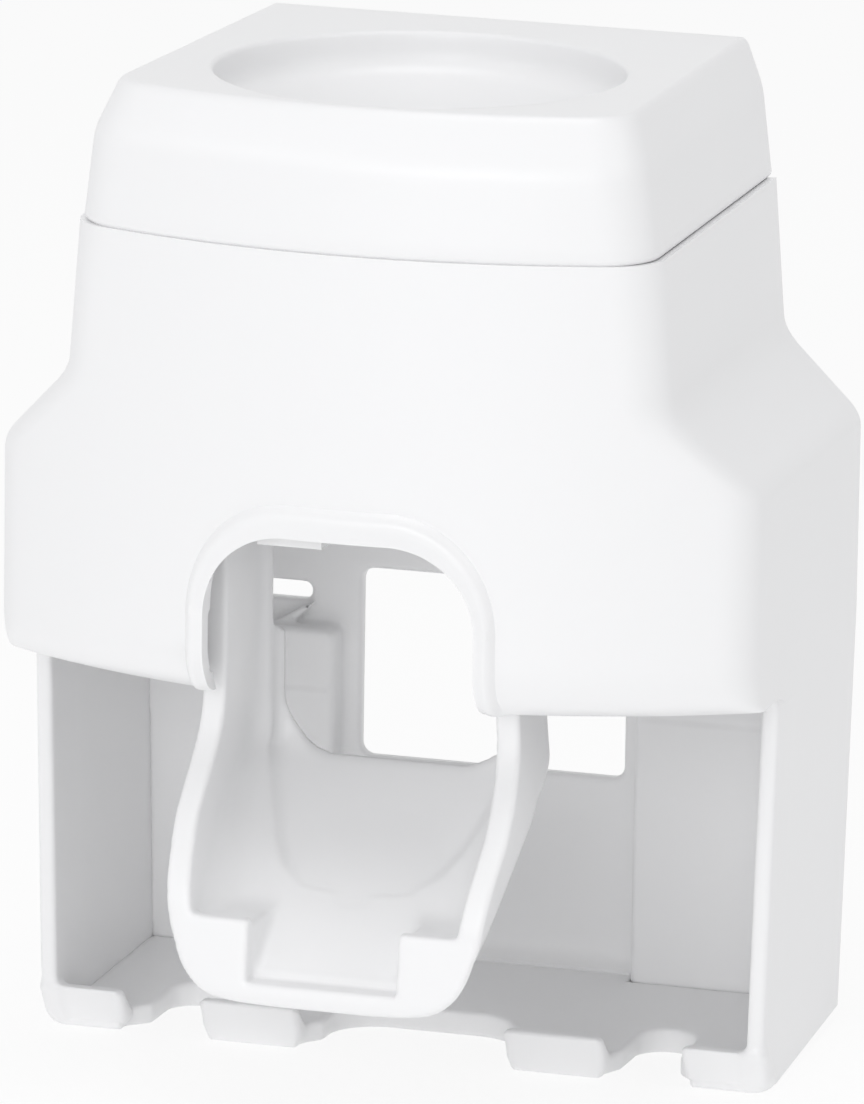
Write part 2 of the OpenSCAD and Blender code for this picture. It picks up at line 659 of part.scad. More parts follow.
// Reach of its back, upright above and sloping forward below.
function cup_back(z) = cup_back_reach + max(0, cup_back_z - z) * 1.18;
function cup_ring(w, f, b, r, n = 6) = concat(
    [[w, -f]],
    [for (i = [0:n]) let (t = 90 * i / n) [w - r + r * cos(t), -b - r + r * sin(t)]],
    [for (i = [n:-1:0]) let (t = 90 * i / n) [-w + r - r * cos(t), -b - r + r * sin(t)]],
    [[-w, -f]]);
cup_rows = [16, 16.5, 17.2, 18, 19.5, 21.5, 24, 27, 30, 33, 36, 39, 42, 45.7, 50, 54, 58, 88];
module cup_outside() skin([for (z = cup_rows) let (f = cup_front(z), b = min(cup_back(z), f - 1.6))
    [z, cup_ring(cup_w(z), f, b, min(9, (f - b) * 0.8))]]);
// The cup's inside is the same form drawn in, open at the front above the lip.
module cup_inside(t, tb, x_limit, z0) {
    rows = concat([z0], [for (z = cup_rows) if (z > z0 + 0.4) z]);
    skin([for (z = rows)
        let (f = cup_front(z), b = cup_back(z) + tb,
             w = min(cup_w(z) - t, x_limit))
        [z == 88 ? 90 : z, cup_ring(w, max(f - cup_front_t, b + 0.4), b,
                                    min(7, max(0.3, (f - cup_front_t - b) * 0.8)))]]);
}
module lever_arm_2d() {
    hull() {
        translate([-62.8, 60]) square([16, 20]);
        translate([-axle_reach, axle_z]) circle(r = 5.6, $fn = 32);
    }
    hull() {
        translate([-axle_reach, axle_z]) circle(r = 5.6, $fn = 32);
        translate([-cross_reach, cross_z]) circle(r = 4.4, $fn = 32);
    }
}
module lever() color(white) place() difference() {
    union() {
        difference() {
            intersection() {
                cup_outside();
                union() {
                    translate([-40, -100, 0]) cube([80, 100, 62]);
                    translate([-40, -100, 61]) cube([80, 53, 17]);
                }
            }
            // a ledge on each side of a channel that runs down to the notch
            cup_inside(rim_w, cup_back_t, 40, cup_ledge_z);
            cup_inside(rim_w, cup_back_t, cup_notch_half_w, cup_notch_z + 0.3);
            // front open above the lip; the back wall stays
            intersection() {
                translate([-60, -100, cup_lip_z]) cube([120, 80, 70]);
                skin([for (z = cup_rows) if (z >= 27)
                    let (w = cup_w(z) - rim_w, y = -cup_front(z) + cup_front_t + 1)
                        [z, [[w, -100], [w, y], [-w, y], [-w, -100]]]]);
            }
            // notch for the brush
            translate([-cup_notch_half_w, -100, cup_notch_z]) cube([2 * cup_notch_half_w, 24, 20]);
            // open back between the arms
            translate([0, -30, 0]) rotate([90, 0, 0]) linear_extrude(30)
                rounded_box_2d(back_open_half_w, back_open_z, axle_z + 20, back_open_r);
        }
        mirrored() translate([arm_x, 0, 0]) rotate([90, 0, 90]) linear_extrude(arm_t) lever_arm_2d();
    }
    translate([-40, -axle_reach, axle_z]) rotate([0, 90, 0]) cylinder(r = axle_r, h = 80, $fn = 64);
    translate([-40, -cross_reach, cross_z]) rotate([0, 90, 0]) cylinder(r = cross_r, h = 80, $fn = 64);
}
module lever_axle() color(steel) place()
    translate([-31, -axle_reach, axle_z]) rotate([0, 90, 0]) difference() {
        cylinder(r = axle_r, h = 62, $fn = 64);
        for (z = [1, 60]) translate([0, 0, z]) difference() {
            cylinder(r = axle_r + 1, h = 1, $fn = 48);
            translate([0, 0, -1]) cylinder(r = axle_r - 0.5, h = 3, $fn = 48);
        }
    }
module axle_clip(x) translate([x, -axle_reach, axle_z]) rotate([0, 90, 0]) difference() {
    cylinder(r = axle_r + 1.6, h = 0.9, $fn = 48);
    translate([0, 0, -1]) cylinder(r = axle_r - 0.48, h = 3, $fn = 48);
    translate([-0.9, 0, -1]) cube([1.8, 5, 3]);
}
module axle_clip_left() color(steel) place() axle_clip(-29.95);
module axle_clip_right() color(steel) place() axle_clip(29.05);
module cross_pin() color(steel) place()
    translate([-23.4, -cross_reach, cross_z]) rotate([0, 90, 0]) cylinder(r = cross_r, h = 46.8, $fn = 64);

// Fasteners
module screw(length) {
    slot = [3.4, 0.7, screw_head_h];
    difference() {
        cylinder(r = screw_head_r, h = screw_head_h, $fn = 48);
        for (a = [0, 90]) rotate(a) translate([-slot.x / 2, -slot.y / 2, -slot.z / 2]) cube(slot);
    }
    translate([0, 0, screw_head_h - 0.1]) cylinder(r = screw_r, h = length, $fn = 32);
}
module carrier_screws() color(steel) place()
    for (p = carrier_screw_at) translate([p.x, p.y, carrier_z - screw_head_h]) screw(8);
module back_screws() color(steel) place()
    for (p = back_screw_at) translate([p.x, -0.1, p.y]) rotate([90, 0, 0]) screw(8);
module tray_screws() color(steel) place()
    for (p = tray_screw_at) translate([p.x, p.y, 0.2]) screw(7);

housing();
back_plate();
brush_tray();
adhesive_pad_left();
adhesive_pad_right();
top_cap();
tube_seal();
pump_carrier();
pump_body();
pump_end_cap();
inlet_valve();
outlet_valve();
outlet_collar();
piston();
piston_ring();
lever();
lever_axle();
cross_pin();
axle_bushing_left();
axle_bushing_right();
axle_clip_left();
axle_clip_right();
return_spring_left();
return_spring_right();
stop_bumper();
carrier_screws();
back_screws();
tray_screws();
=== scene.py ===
# Hands-free toothpaste dispenser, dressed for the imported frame.
# Shapes are worked out in millimetres from the wall face (y = 0, front towards -Y).
import bmesh
import bpy
import numpy as np
from mathutils import Matrix, Vector


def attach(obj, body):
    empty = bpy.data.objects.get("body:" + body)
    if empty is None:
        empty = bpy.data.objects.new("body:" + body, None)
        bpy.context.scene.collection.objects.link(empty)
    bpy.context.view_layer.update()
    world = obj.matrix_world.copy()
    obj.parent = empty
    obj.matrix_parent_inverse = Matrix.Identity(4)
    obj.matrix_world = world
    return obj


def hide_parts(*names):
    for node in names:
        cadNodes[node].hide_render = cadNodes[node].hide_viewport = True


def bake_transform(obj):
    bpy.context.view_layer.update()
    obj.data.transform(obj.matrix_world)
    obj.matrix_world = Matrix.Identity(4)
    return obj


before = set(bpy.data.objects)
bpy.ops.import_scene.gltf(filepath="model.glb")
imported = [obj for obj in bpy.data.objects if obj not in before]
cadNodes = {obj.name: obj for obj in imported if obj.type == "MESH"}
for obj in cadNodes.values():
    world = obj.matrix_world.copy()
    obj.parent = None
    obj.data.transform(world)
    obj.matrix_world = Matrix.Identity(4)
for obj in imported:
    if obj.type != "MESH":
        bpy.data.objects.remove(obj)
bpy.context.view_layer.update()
wallToMiddle = 39.72   # from the wall face to the middle of the footprint, mm
print("frame loaded:", len(cadNodes), "nodes")


# camera: a long lens from the front right, a little above
view = {"target": (0, -25, 68), "distance": 1674.2, "yaw": 17.559, "pitch": 12.999, "roll": 0.912,
        "slide": (-2.034, 1.164), "focalPixels": 11970.6, "pixelsHigh": 1104, "sensor": 36, "farClip": 20}

def makeCamera(s):
    # the camera stands at its distance from the target, slid in its own plane, turned by yaw, pitch and roll
    yaw, pitch, roll = np.radians([s["yaw"], s["pitch"], s["roll"]])
    back = np.array([np.sin(yaw) * np.cos(pitch), -np.cos(yaw) * np.cos(pitch), np.sin(pitch)])
    level = np.array([np.cos(yaw), np.sin(yaw), 0])
    rise = np.cross(level, -back)
    right = np.cos(roll) * level + np.sin(roll) * rise
    up = np.cos(roll) * rise - np.sin(roll) * level
    place = np.array(s["target"]) + level * s["slide"][0] + rise * s["slide"][1] + back * s["distance"]
    place = (place + (0, wallToMiddle, 0)) / 1000
    data = bpy.data.cameras.new("camera")
    data.sensor_fit = "VERTICAL"
    data.sensor_height = s["sensor"]
    data.lens = s["focalPixels"] * s["sensor"] / s["pixelsHigh"]
    data.clip_end = s["farClip"]
    camera = bpy.data.objects.new("camera", data)
    turn = np.eye(4)
    turn[:3, 0], turn[:3, 1], turn[:3, 2], turn[:3, 3] = right, up, back, place
    camera.matrix_world = Matrix(turn.tolist())
    bpy.context.scene.collection.objects.link(camera)
    bpy.context.scene.camera = camera

makeCamera(view)


def addNode(tree, kind, values=(), **settings):
    # a shader node with its settings and the constants on its sockets
    node = tree.nodes.new(kind)
    for name, value in settings.items():
        setattr(node, name, value)
    for socket, value in dict(values).items():
        node.inputs[socket].default_value = value
    return node


# studio: white seen by the camera, soft light on the object
studio = {"sky": (0.985, 0.988, 1.0), "skyStrength": 0.47, "aim": (0, 0, 0.07),
          "lamps": {"key": {"at": (-1.0, -1.2, 0.95), "size": 0.9, "power": 2.1, "colour": (1, 1, 1)},
                    "high": {"at": (-0.15, -1.7, 1.2), "size": 0.9, "power": 0.9, "colour": (1, 1, 1)},
                    "front": {"at": (-0.1, -1.9, 0.4), "size": 1.2, "power": 3.6, "colour": (1, 1, 1)},
                    "low": {"at": (0.15, -1.5, 0.22), "size": 0.9, "power": 4.2, "colour": (1, 1, 1)},
                    "top": {"at": (0.05, -0.2, 1.5), "size": 0.9, "power": 5.2, "colour": (1, 1, 1)},
                    "side": {"at": (1.4, -0.3, 0.9), "size": 0.9, "power": 2.0, "colour": (1, 0.995, 0.99)}},
          "floorSize": 3.0, "floorGlow": 0.86, "floorColour": (0.15, 0.15, 0.15), "floorBounce": 0.28,
          "floorUnder": (0.8, 0.8, 0.8)}

def rayMask(tree):
    # 1 for camera, glossy and transmission rays, else 0
    path = addNode(tree, "ShaderNodeLightPath")
    first = addNode(tree, "ShaderNodeMath", operation="MAXIMUM")
    second = addNode(tree, "ShaderNodeMath", operation="MAXIMUM")
    tree.links.new(path.outputs["Is Camera Ray"], first.inputs[0])
    tree.links.new(path.outputs["Is Glossy Ray"], first.inputs[1])
    tree.links.new(first.outputs[0], second.inputs[0])
    tree.links.new(path.outputs["Is Transmission Ray"], second.inputs[1])
    return second.outputs[0]

def mixByRay(tree, light, seen, output):
    # one shader for the light that bounces, the other for the rays that reach the picture
    mix = addNode(tree, "ShaderNodeMixShader")
    for place, source in enumerate((rayMask(tree), light, seen)):
        tree.links.new(source, mix.inputs[place])
    tree.links.new(mix.outputs[0], addNode(tree, output).inputs[0])

def makeWorld(s):
    world = bpy.data.worlds.new("studio")
    bpy.context.scene.world = world
    world.use_nodes = True
    tree = world.node_tree
    tree.nodes.clear()
    glow = addNode(tree, "ShaderNodeBackground", {"Color": (*s["sky"], 1), "Strength": s["skyStrength"]})
    white = addNode(tree, "ShaderNodeBackground", {"Color": (1, 1, 1, 1), "Strength": 1})
    mixByRay(tree, glow.outputs[0], white.outputs[0], "ShaderNodeOutputWorld")

def makeLamp(name, lamp, aim):
    data = bpy.data.lights.new(name, "AREA")
    data.size = lamp["size"]
    data.energy = lamp["power"]
    data.color = lamp["colour"]
    obj = bpy.data.objects.new(name, data)
    obj.location = lamp["at"]
    obj.rotation_euler = (Vector(aim) - obj.location).to_track_quat("-Z", "Y").to_euler()
    bpy.context.scene.collection.objects.link(obj)

def makeFloor(s):
    # pale floor that keeps a soft shadow in the picture and sends a little light up
    half = s["floorSize"] / 2
    mesh = bpy.data.meshes.new("floor")
    corners = [(-half, -half, 0), (half, -half, 0), (half, half, 0), (-half, half, 0)]
    mesh.from_pydata(corners, [], [(0, 1, 2, 3)])
    floor = bpy.data.objects.new("floor", mesh)
    bpy.context.scene.collection.objects.link(floor)
    pale = bpy.data.materials.new("floor")
    pale.use_nodes = True
    tree = pale.node_tree
    tree.nodes.clear()
    def litMatte(colour, strength):
        matte = addNode(tree, "ShaderNodeBsdfDiffuse", {"Color": (*colour, 1)})
        lit = addNode(tree, "ShaderNodeEmission", {"Strength": strength})
        total = addNode(tree, "ShaderNodeAddShader")
        tree.links.new(matte.outputs[0], total.inputs[0])
        tree.links.new(lit.outputs[0], total.inputs[1])
        return total.outputs[0]
    under, seen = litMatte(s["floorUnder"], s["floorBounce"]), litMatte(s["floorColour"], s["floorGlow"])
    mixByRay(tree, under, seen, "ShaderNodeOutputMaterial")
    mesh.materials.append(pale)

makeWorld(studio)
for name, lamp in studio["lamps"].items():
    makeLamp(name, lamp, studio["aim"])
makeFloor(studio)
bpy.context.scene.view_settings.view_transform = "Standard"
print("camera and studio made")


# finishes: moulded surfaces share one texture group, read from Object coordinates in metres
mould = {"detail": 3, "broad": 45, "broadDetail": 2, "sink": 130, "sinkDetail": 1, "sinkStrength": 0.5,
         "bumpHigh": 0.00002}

def mouldGroup(s):
    # grain, a slow change of tone and roughness, and faint waviness, each one noise over the surface
    group = bpy.data.node_groups.new("mouldedSurface", "ShaderNodeTree")
    for name, kind, value in (("Grain", "NodeSocketFloat", 2200), ("Depth", "NodeSocketFloat", 0.1),
                              ("Rough", "NodeSocketFloat", 0.35), ("Spread", "NodeSocketFloat", 0.05),
                              ("Colour", "NodeSocketColor", (0.9, 0.9, 0.9, 1)),
                              ("Cast", "NodeSocketColor", (0.9, 0.9, 0.9, 1))):
        group.interface.new_socket(name=name, in_out="INPUT", socket_type=kind).default_value = value
    for name, kind in (("Colour", "NodeSocketColor"), ("Roughness", "NodeSocketFloat"),
                       ("Normal", "NodeSocketVector")):
        group.interface.new_socket(name=name, in_out="OUTPUT", socket_type=kind)
    join = group.links.new
    given, result = addNode(group, "NodeGroupInput"), addNode(group, "NodeGroupOutput")
    where = addNode(group, "ShaderNodeTexCoord")
    fine = addNode(group, "ShaderNodeTexNoise", {"Detail": s["detail"]})      # spark-eroded grain of the mould
    broad = addNode(group, "ShaderNodeTexNoise", {"Scale": s["broad"], "Detail": s["broadDetail"]})
    sink = addNode(group, "ShaderNodeTexNoise", {"Scale": s["sink"], "Detail": s["sinkDetail"]})  # shrunk wall
    for noise in (fine, broad, sink):
        join(where.outputs["Object"], noise.inputs["Vector"])
    join(given.outputs["Grain"], fine.inputs["Scale"])
    waves = addNode(group, "ShaderNodeBump", {"Distance": s["bumpHigh"], "Strength": s["sinkStrength"]})
    join(sink.outputs["Fac"], waves.inputs["Height"])
    bump = addNode(group, "ShaderNodeBump", {"Distance": s["bumpHigh"]})
    join(given.outputs["Depth"], bump.inputs["Strength"])
    join(fine.outputs["Fac"], bump.inputs["Height"])
    join(waves.outputs["Normal"], bump.inputs["Normal"])
    centred = addNode(group, "ShaderNodeMath", {1: 0.5}, operation="SUBTRACT")
    join(broad.outputs["Fac"], centred.inputs[0])
    rough = addNode(group, "ShaderNodeMath", operation="MULTIPLY_ADD")
    for place, source in enumerate((centred.outputs[0], given.outputs["Spread"], given.outputs["Rough"])):
        join(source, rough.inputs[place])
    tone = addNode(group, "ShaderNodeMix", data_type="RGBA")
    join(broad.outputs["Fac"], tone.inputs["Factor"])
    join(given.outputs["Colour"], tone.inputs[6])
    join(given.outputs["Cast"], tone.inputs[7])
    join(tone.outputs[2], result.inputs["Colour"])
    join(rough.outputs[0], result.inputs["Roughness"])
    join(bump.outputs["Normal"], result.inputs["Normal"])
    return group

mouldedSurface = mouldGroup(mould)

def newMaterial(name):
    material = bpy.data.materials.new(name)
    material.use_nodes = True
    return material, material.node_tree, material.node_tree.nodes["Principled BSDF"]

def mouldedPlastic(name, colour, cast, rough, spread, grain, depth, level=0.5, sheen=0.0, clear=0.0):
    material, tree, shader = newMaterial(name)
    values = {"Grain": grain, "Depth": depth, "Rough": rough, "Spread": spread, "Colour": (*colour, 1),
              "Cast": (*cast, 1)}
    skin = addNode(tree, "ShaderNodeGroup", values, node_tree=mouldedSurface)
    for given, target in (("Colour", "Base Color"), ("Roughness", "Roughness"), ("Normal", "Normal")):
        tree.links.new(skin.outputs[given], shader.inputs[target])
    shader.inputs["Specular IOR Level"].default_value = level
    shader.inputs["Sheen Weight"].default_value = sheen
    shader.inputs["Transmission Weight"].default_value = clear
    return material

steel = {"stretch": (500, 4000, 4000), "detail": 3, "rough": (0.18, 0.42), "dark": (0.6, 0.6, 0.61, 1),
         "light": (0.74, 0.74, 0.75, 1), "lineHigh": 0.00001, "lineStrength": 0.3}

def drawnSteel(s):
    # fine lines along X from drawing and polishing: one stretched noise sets tone, roughness and bump
    material, tree, shader = newMaterial("drawnSteel")
    join = tree.links.new
    where = addNode(tree, "ShaderNodeTexCoord")
    stretch = addNode(tree, "ShaderNodeMapping", {"Scale": s["stretch"]})
    lines = addNode(tree, "ShaderNodeTexNoise", {"Scale": 1, "Detail": s["detail"]})
    join(where.outputs["Object"], stretch.inputs["Vector"])
    join(stretch.outputs["Vector"], lines.inputs["Vector"])
    rough = addNode(tree, "ShaderNodeMapRange", {"To Min": s["rough"][0], "To Max": s["rough"][1]})
    join(lines.outputs["Fac"], rough.inputs["Value"])
    tone = addNode(tree, "ShaderNodeMix", data_type="RGBA")
    tone.inputs[6].default_value, tone.inputs[7].default_value = s["dark"], s["light"]
    join(lines.outputs["Fac"], tone.inputs["Factor"])
    bump = addNode(tree, "ShaderNodeBump", {"Distance": s["lineHigh"], "Strength": s["lineStrength"]})
    join(lines.outputs["Fac"], bump.inputs["Height"])
    join(rough.outputs["Result"], shader.inputs["Roughness"])
    join(tone.outputs[2], shader.inputs["Base Color"])
    join(bump.outputs["Normal"], shader.inputs["Normal"])
    shader.inputs["Metallic"].default_value = 1
    return material

finish = {
    "shell": mouldedPlastic("shellWhite", (0.93, 0.93, 0.935), (0.925, 0.925, 0.932), 0.34, 0.08, 2600, 0.09),
    "inside": mouldedPlastic("innerWhite", (0.89, 0.89, 0.89), (0.87, 0.87, 0.875), 0.48, 0.1, 1700, 0.25),
    "acetal": mouldedPlastic("acetal", (0.88, 0.88, 0.875), (0.86, 0.86, 0.86), 0.38, 0.1, 2000, 0.15),
    "silicone": mouldedPlastic("silicone", (0.86, 0.875, 0.86), (0.83, 0.85, 0.84), 0.4, 0.1, 1500, 0.15,
                               clear=0.25),
    "rubber": mouldedPlastic("nitrileRubber", (0.055, 0.055, 0.06), (0.075, 0.075, 0.08), 0.62, 0.15, 1400,
                             0.4, 0.35),
    "foam": mouldedPlastic("padFoam", (0.9, 0.9, 0.87), (0.84, 0.84, 0.8), 0.85, 0.1, 700, 0.9, 0.2,
                           sheen=0.15),
    "steel": drawnSteel(steel),
}
print("finishes made:", len(finish))


def makeMesh(name, points, quads, weld=0.002, orient=False):
    # a smooth mesh from points in millimetres and arrays of quads, welded, with its place in its vertices
    mesh = bpy.data.meshes.new(name)
    place = ((np.asarray(points, float) + (0, wallToMiddle, 0)) / 1000).astype(np.float32)
    quads = np.asarray(quads, np.int32)
    mesh.vertices.add(len(place))
    mesh.vertices.foreach_set("co", place.ravel())
    mesh.loops.add(quads.size)
    mesh.loops.foreach_set("vertex_index", quads.ravel())
    mesh.polygons.add(len(quads))
    mesh.polygons.foreach_set("loop_start", np.arange(0, quads.size, 4, dtype=np.int32))
    mesh.update(calc_edges=True)
    mesh.validate()
    if weld:
        work = bmesh.new()
        work.from_mesh(mesh)
        bmesh.ops.remove_doubles(work, verts=work.verts, dist=weld / 1000)
        bmesh.ops.dissolve_degenerate(work, edges=work.edges, dist=1e-7)
        if orient:
            bmesh.ops.recalc_face_normals(work, faces=work.faces)
        work.to_mesh(mesh)
        work.free()
    mesh.shade_smooth()
    return mesh

def makePiece(name, mesh, material, body, nodes=()):
    # the mesh as a piece that rides on a body and takes the place of the CAD nodes it stands for
    piece = bpy.data.objects.new(name, mesh)
    bpy.context.scene.collection.objects.link(piece)
    mesh.materials.append(finish[material])
    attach(piece, body)
    if nodes:
        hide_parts(*nodes)
    return piece

def wallAndEdge(piece, wall, edge, angle=50, steps=3):
    # a wall grown inwards from the sheet, and its sharp edges rounded
    if wall:
        solid = piece.modifiers.new("wall", "SOLIDIFY")
        solid.thickness = wall / 1000
        solid.offset = -1
        solid.use_even_offset = True
    rounding = piece.modifiers.new("edge", "BEVEL")
    rounding.width = edge / 1000
    rounding.segments = steps
    rounding.limit_method = "ANGLE"
    rounding.angle_limit = np.radians(angle)
    rounding.harden_normals = True

def latticeQuads(rows, columns, start=0, closed=False, flip=False):
    # quads of a lattice of points (rows, columns)
    index = np.arange(rows * columns).reshape(rows, columns) + start
    if closed:
        index = np.concatenate([index, index[:, :1]], 1)
    corners = [index[:-1, :-1], index[:-1, 1:], index[1:, 1:], index[1:, :-1]]
    if flip:
        corners = corners[::-1]
    return np.stack(corners, -1).reshape(-1, 4)

def joinSheets(sheets):
    # several lattices as one set of points and quads, with their mirror images across x = 0
    points, quads, count = [], [], 0
    for sheet in sheets:
        for side in (1, -1):
            points.append(sheet.reshape(-1, 3) * (side, 1, 1))
            quads.append(latticeQuads(*sheet.shape[:2], start=count, flip=side < 0))
            count += sheet.shape[0] * sheet.shape[1]
    return np.concatenate(points), np.concatenate(quads)

def mirroredMeshes(stem, points, quads):
    # the shape as made on the right, and its mirror image on the left
    for side, name in ((-1, "left"), (1, "right")):
        turned = quads if side > 0 else quads[:, ::-1]
        yield name, makeMesh(stem + "_" + name, points * (side, 1, 1), turned, weld=0)

def softRamp(t, h):
    # 0 below -h, t above h, a parabola between
    return np.where(t <= -h, 0, np.where(t >= h, t, (np.clip(t, -h, h) + h) ** 2 / (4 * h)))

def smooth(t):
    # 0 to 1 with level ends, 3t2 - 2t3
    t = np.clip(t, 0, 1)
    return t * t * (3 - 2 * t)


# housing: front shell with shoulders, rolled belly edge, side walls and the arch with its bead
shell = {"bellyHalf": 54.6, "shoulderLow": 88.3, "shoulderTop": 99.5, "blockDraft": 0.0791, "lowDraft": 0.0233,
         "draftZ": 60, "draftSoft": 2, "softLow": 1.8, "softTop": 2.2, "reach": 75.4, "frontR": 100,
         "cornerR": 8.5, "sideDraw": 0.035, "sideReach": 44.2, "bellyZ": 57.25, "roll": 7.5, "seamZ": 121,
         "rise": 2.3, "leastR": 1.5, "split": 30, "wall": 2.4, "thinWall": 0.4, "thinOver": 3.5,
         "thinFront": -50, "edge": 0.3, "archHalf": 19.3, "archTop": 81.3, "archR": 12, "flare": 3,
         "flareWide": 0.7, "beadWide": 2.9, "beadTop": 4.6, "beadProud": 1.2, "beadSoft": 1.0, "beadFall": 0.7,
         "bands": (104, 84), "bandRows": (12, 31, 14, 14), "columns": (15, 17, 19, 22), "bunch": 1.7}

def halfWidth(z, s=shell):
    # half width of the body at height z: foot draft, belly, shoulder slope and block draft, joined softly
    return (s["bellyHalf"] - s["lowDraft"] * softRamp(s["draftZ"] - z, s["draftSoft"])
            - softRamp(z - s["shoulderLow"], s["softLow"])
            + (1 - s["blockDraft"]) * softRamp(z - s["shoulderTop"], s["softTop"]))

def rollInset(z, s=shell):
    # how far the belly's lower edge has rolled in at height z, a quarter circle
    left = np.maximum(0, s["roll"] - (z - s["bellyZ"]))
    return s["roll"] - np.sqrt(np.maximum(0, s["roll"] ** 2 - left ** 2))

def sideLine(w, y, s=shell):
    # x of the side wall at depth y: a line drawn in towards the front, touching the corner's circle
    centre = -s["reach"] + s["frontR"] - np.sqrt((s["frontR"] - s["cornerR"]) ** 2 - (w - s["cornerR"]) ** 2)
    lean = np.arctan(s["sideDraw"])
    startX = w - s["cornerR"] + s["cornerR"] * np.cos(lean)
    startY = centre + s["cornerR"] * np.sin(lean)
    return startX - s["sideDraw"] * (y - startY)

def rowHeights(s=shell):
    # heights from the seam down to the belly's edge: in even steps round the roll, and as they lie on it
    (high, low), count = s["bands"], s["bandRows"]
    heights = np.concatenate([np.linspace(s["seamZ"], high, count[0]), np.linspace(high, low, count[1])[1:],
                              np.linspace(low, s["bellyZ"] + s["roll"], count[2])[1:]])
    turn = np.linspace(1, 0, count[3])[1:]
    flat = np.concatenate([heights, s["bellyZ"] + s["roll"] * turn])
    rolled = np.concatenate([heights, s["bellyZ"] + s["roll"] * (1 - np.cos(turn * np.pi / 2))])
    return flat, rolled

def unroll(z, s=shell):
    # height to even steps round the roll
    low = z < s["bellyZ"] + s["roll"]
    angle = np.arccos(np.clip(1 - (z - s["bellyZ"]) / s["roll"], -1, 1))
    return np.where(low, s["bellyZ"] + s["roll"] * angle * 2 / np.pi, z)

def reroll(t, s=shell):
    # even steps round the roll back to height
    low = t < s["bellyZ"] + s["roll"]
    return np.where(low, s["bellyZ"] + s["roll"] * (1 - np.cos((t - s["bellyZ"]) / s["roll"] * np.pi / 2)), t)

def archLattice(s):
    # x and height between the opening's edge, the bead's outer line and the rectangle round them
    crown, spring, footZ = s["archHalf"] - s["archR"], s["archTop"] - s["archR"], s["bellyZ"] + s["flare"]
    bend = np.radians(np.concatenate([np.linspace(90, 45, 21)[1:], np.linspace(45, 0, 31)[1:]]))
    drop = np.linspace(spring, footZ, 14)[1:]
    foot = np.radians(np.linspace(180, 270, 25)[1:])
    level = np.linspace(0, crown, 11)
    def archCurve(wide, high):
        side = s["archHalf"] + wide
        x = np.concatenate([level, crown + (s["archR"] + wide) * np.cos(bend), np.full(len(drop), side),
                            side + s["flareWide"] + s["flareWide"] * np.cos(foot)])
        z = np.concatenate([np.full(len(level), s["archTop"] + high),
                            spring + (s["archR"] + high) * np.sin(bend), drop,
                            footZ + s["flare"] * np.sin(foot)])
        return np.stack([x, unroll(z)], -1)
    inner, outer = archCurve(0, 0), archCurve(s["beadWide"], s["beadTop"])
    down = rowHeights(s)[0][1:]
    over = len(inner) - len(down)
    border = np.concatenate([np.stack([np.linspace(0, s["split"], over), np.full(over, s["seamZ"])], -1),
                             np.stack([np.full(len(down), s["split"]), down], -1)])
    across = np.linspace(0, 1, 6)[:, None, None]
    onward = (np.linspace(0, 1, 19) ** 1.25)[1:, None, None]
    lattice = np.concatenate([inner + (outer - inner) * across, outer + (border - outer) * onward])
    return lattice[..., 0], reroll(lattice[..., 1])

def archSheet(s):
    # the bowed front round the opening, a drum of radius frontR with the bead raised on it
    x, z = archLattice(s)
    crown, spring = s["archHalf"] - s["archR"], s["archTop"] - s["archR"]
    # distance inside the bead's outer line, which is an ellipse over the crown
    over = np.hypot(np.maximum(x - crown, 0) / (s["archR"] + s["beadWide"]),
                    np.maximum(z - spring, 0) / (s["archR"] + s["beadTop"]))
    depth = np.where(z > spring, (1 - over) * (s["archR"] + 0.5 * (s["beadWide"] + s["beadTop"])),
                     s["archHalf"] + s["beadWide"] - x)
    # the bead rises at its outer line and rolls in towards the opening
    wide = s["beadWide"] + 0.8 * (s["beadTop"] - s["beadWide"]) * smooth((z - spring) / s["archR"])
    raised = (s["beadProud"] * smooth(depth / s["beadSoft"])
              - s["beadFall"] * smooth((depth / wide - 0.5) / 0.4))
    raised *= 0.3 + 0.7 * smooth((z - s["bellyZ"]) / 2.5)
    down = np.clip(1 - (z - s["bellyZ"]) / s["roll"], 0, 1)      # how far the surface faces down
    bearing = np.arcsin(x / s["frontR"])
    reach = s["frontR"] + raised * np.sqrt(1 - down ** 2)
    y = -s["reach"] + rollInset(z) + s["frontR"] - reach * np.cos(bearing)
    return np.stack([reach * np.sin(bearing), y, z - raised * down], -1)[:, ::-1]

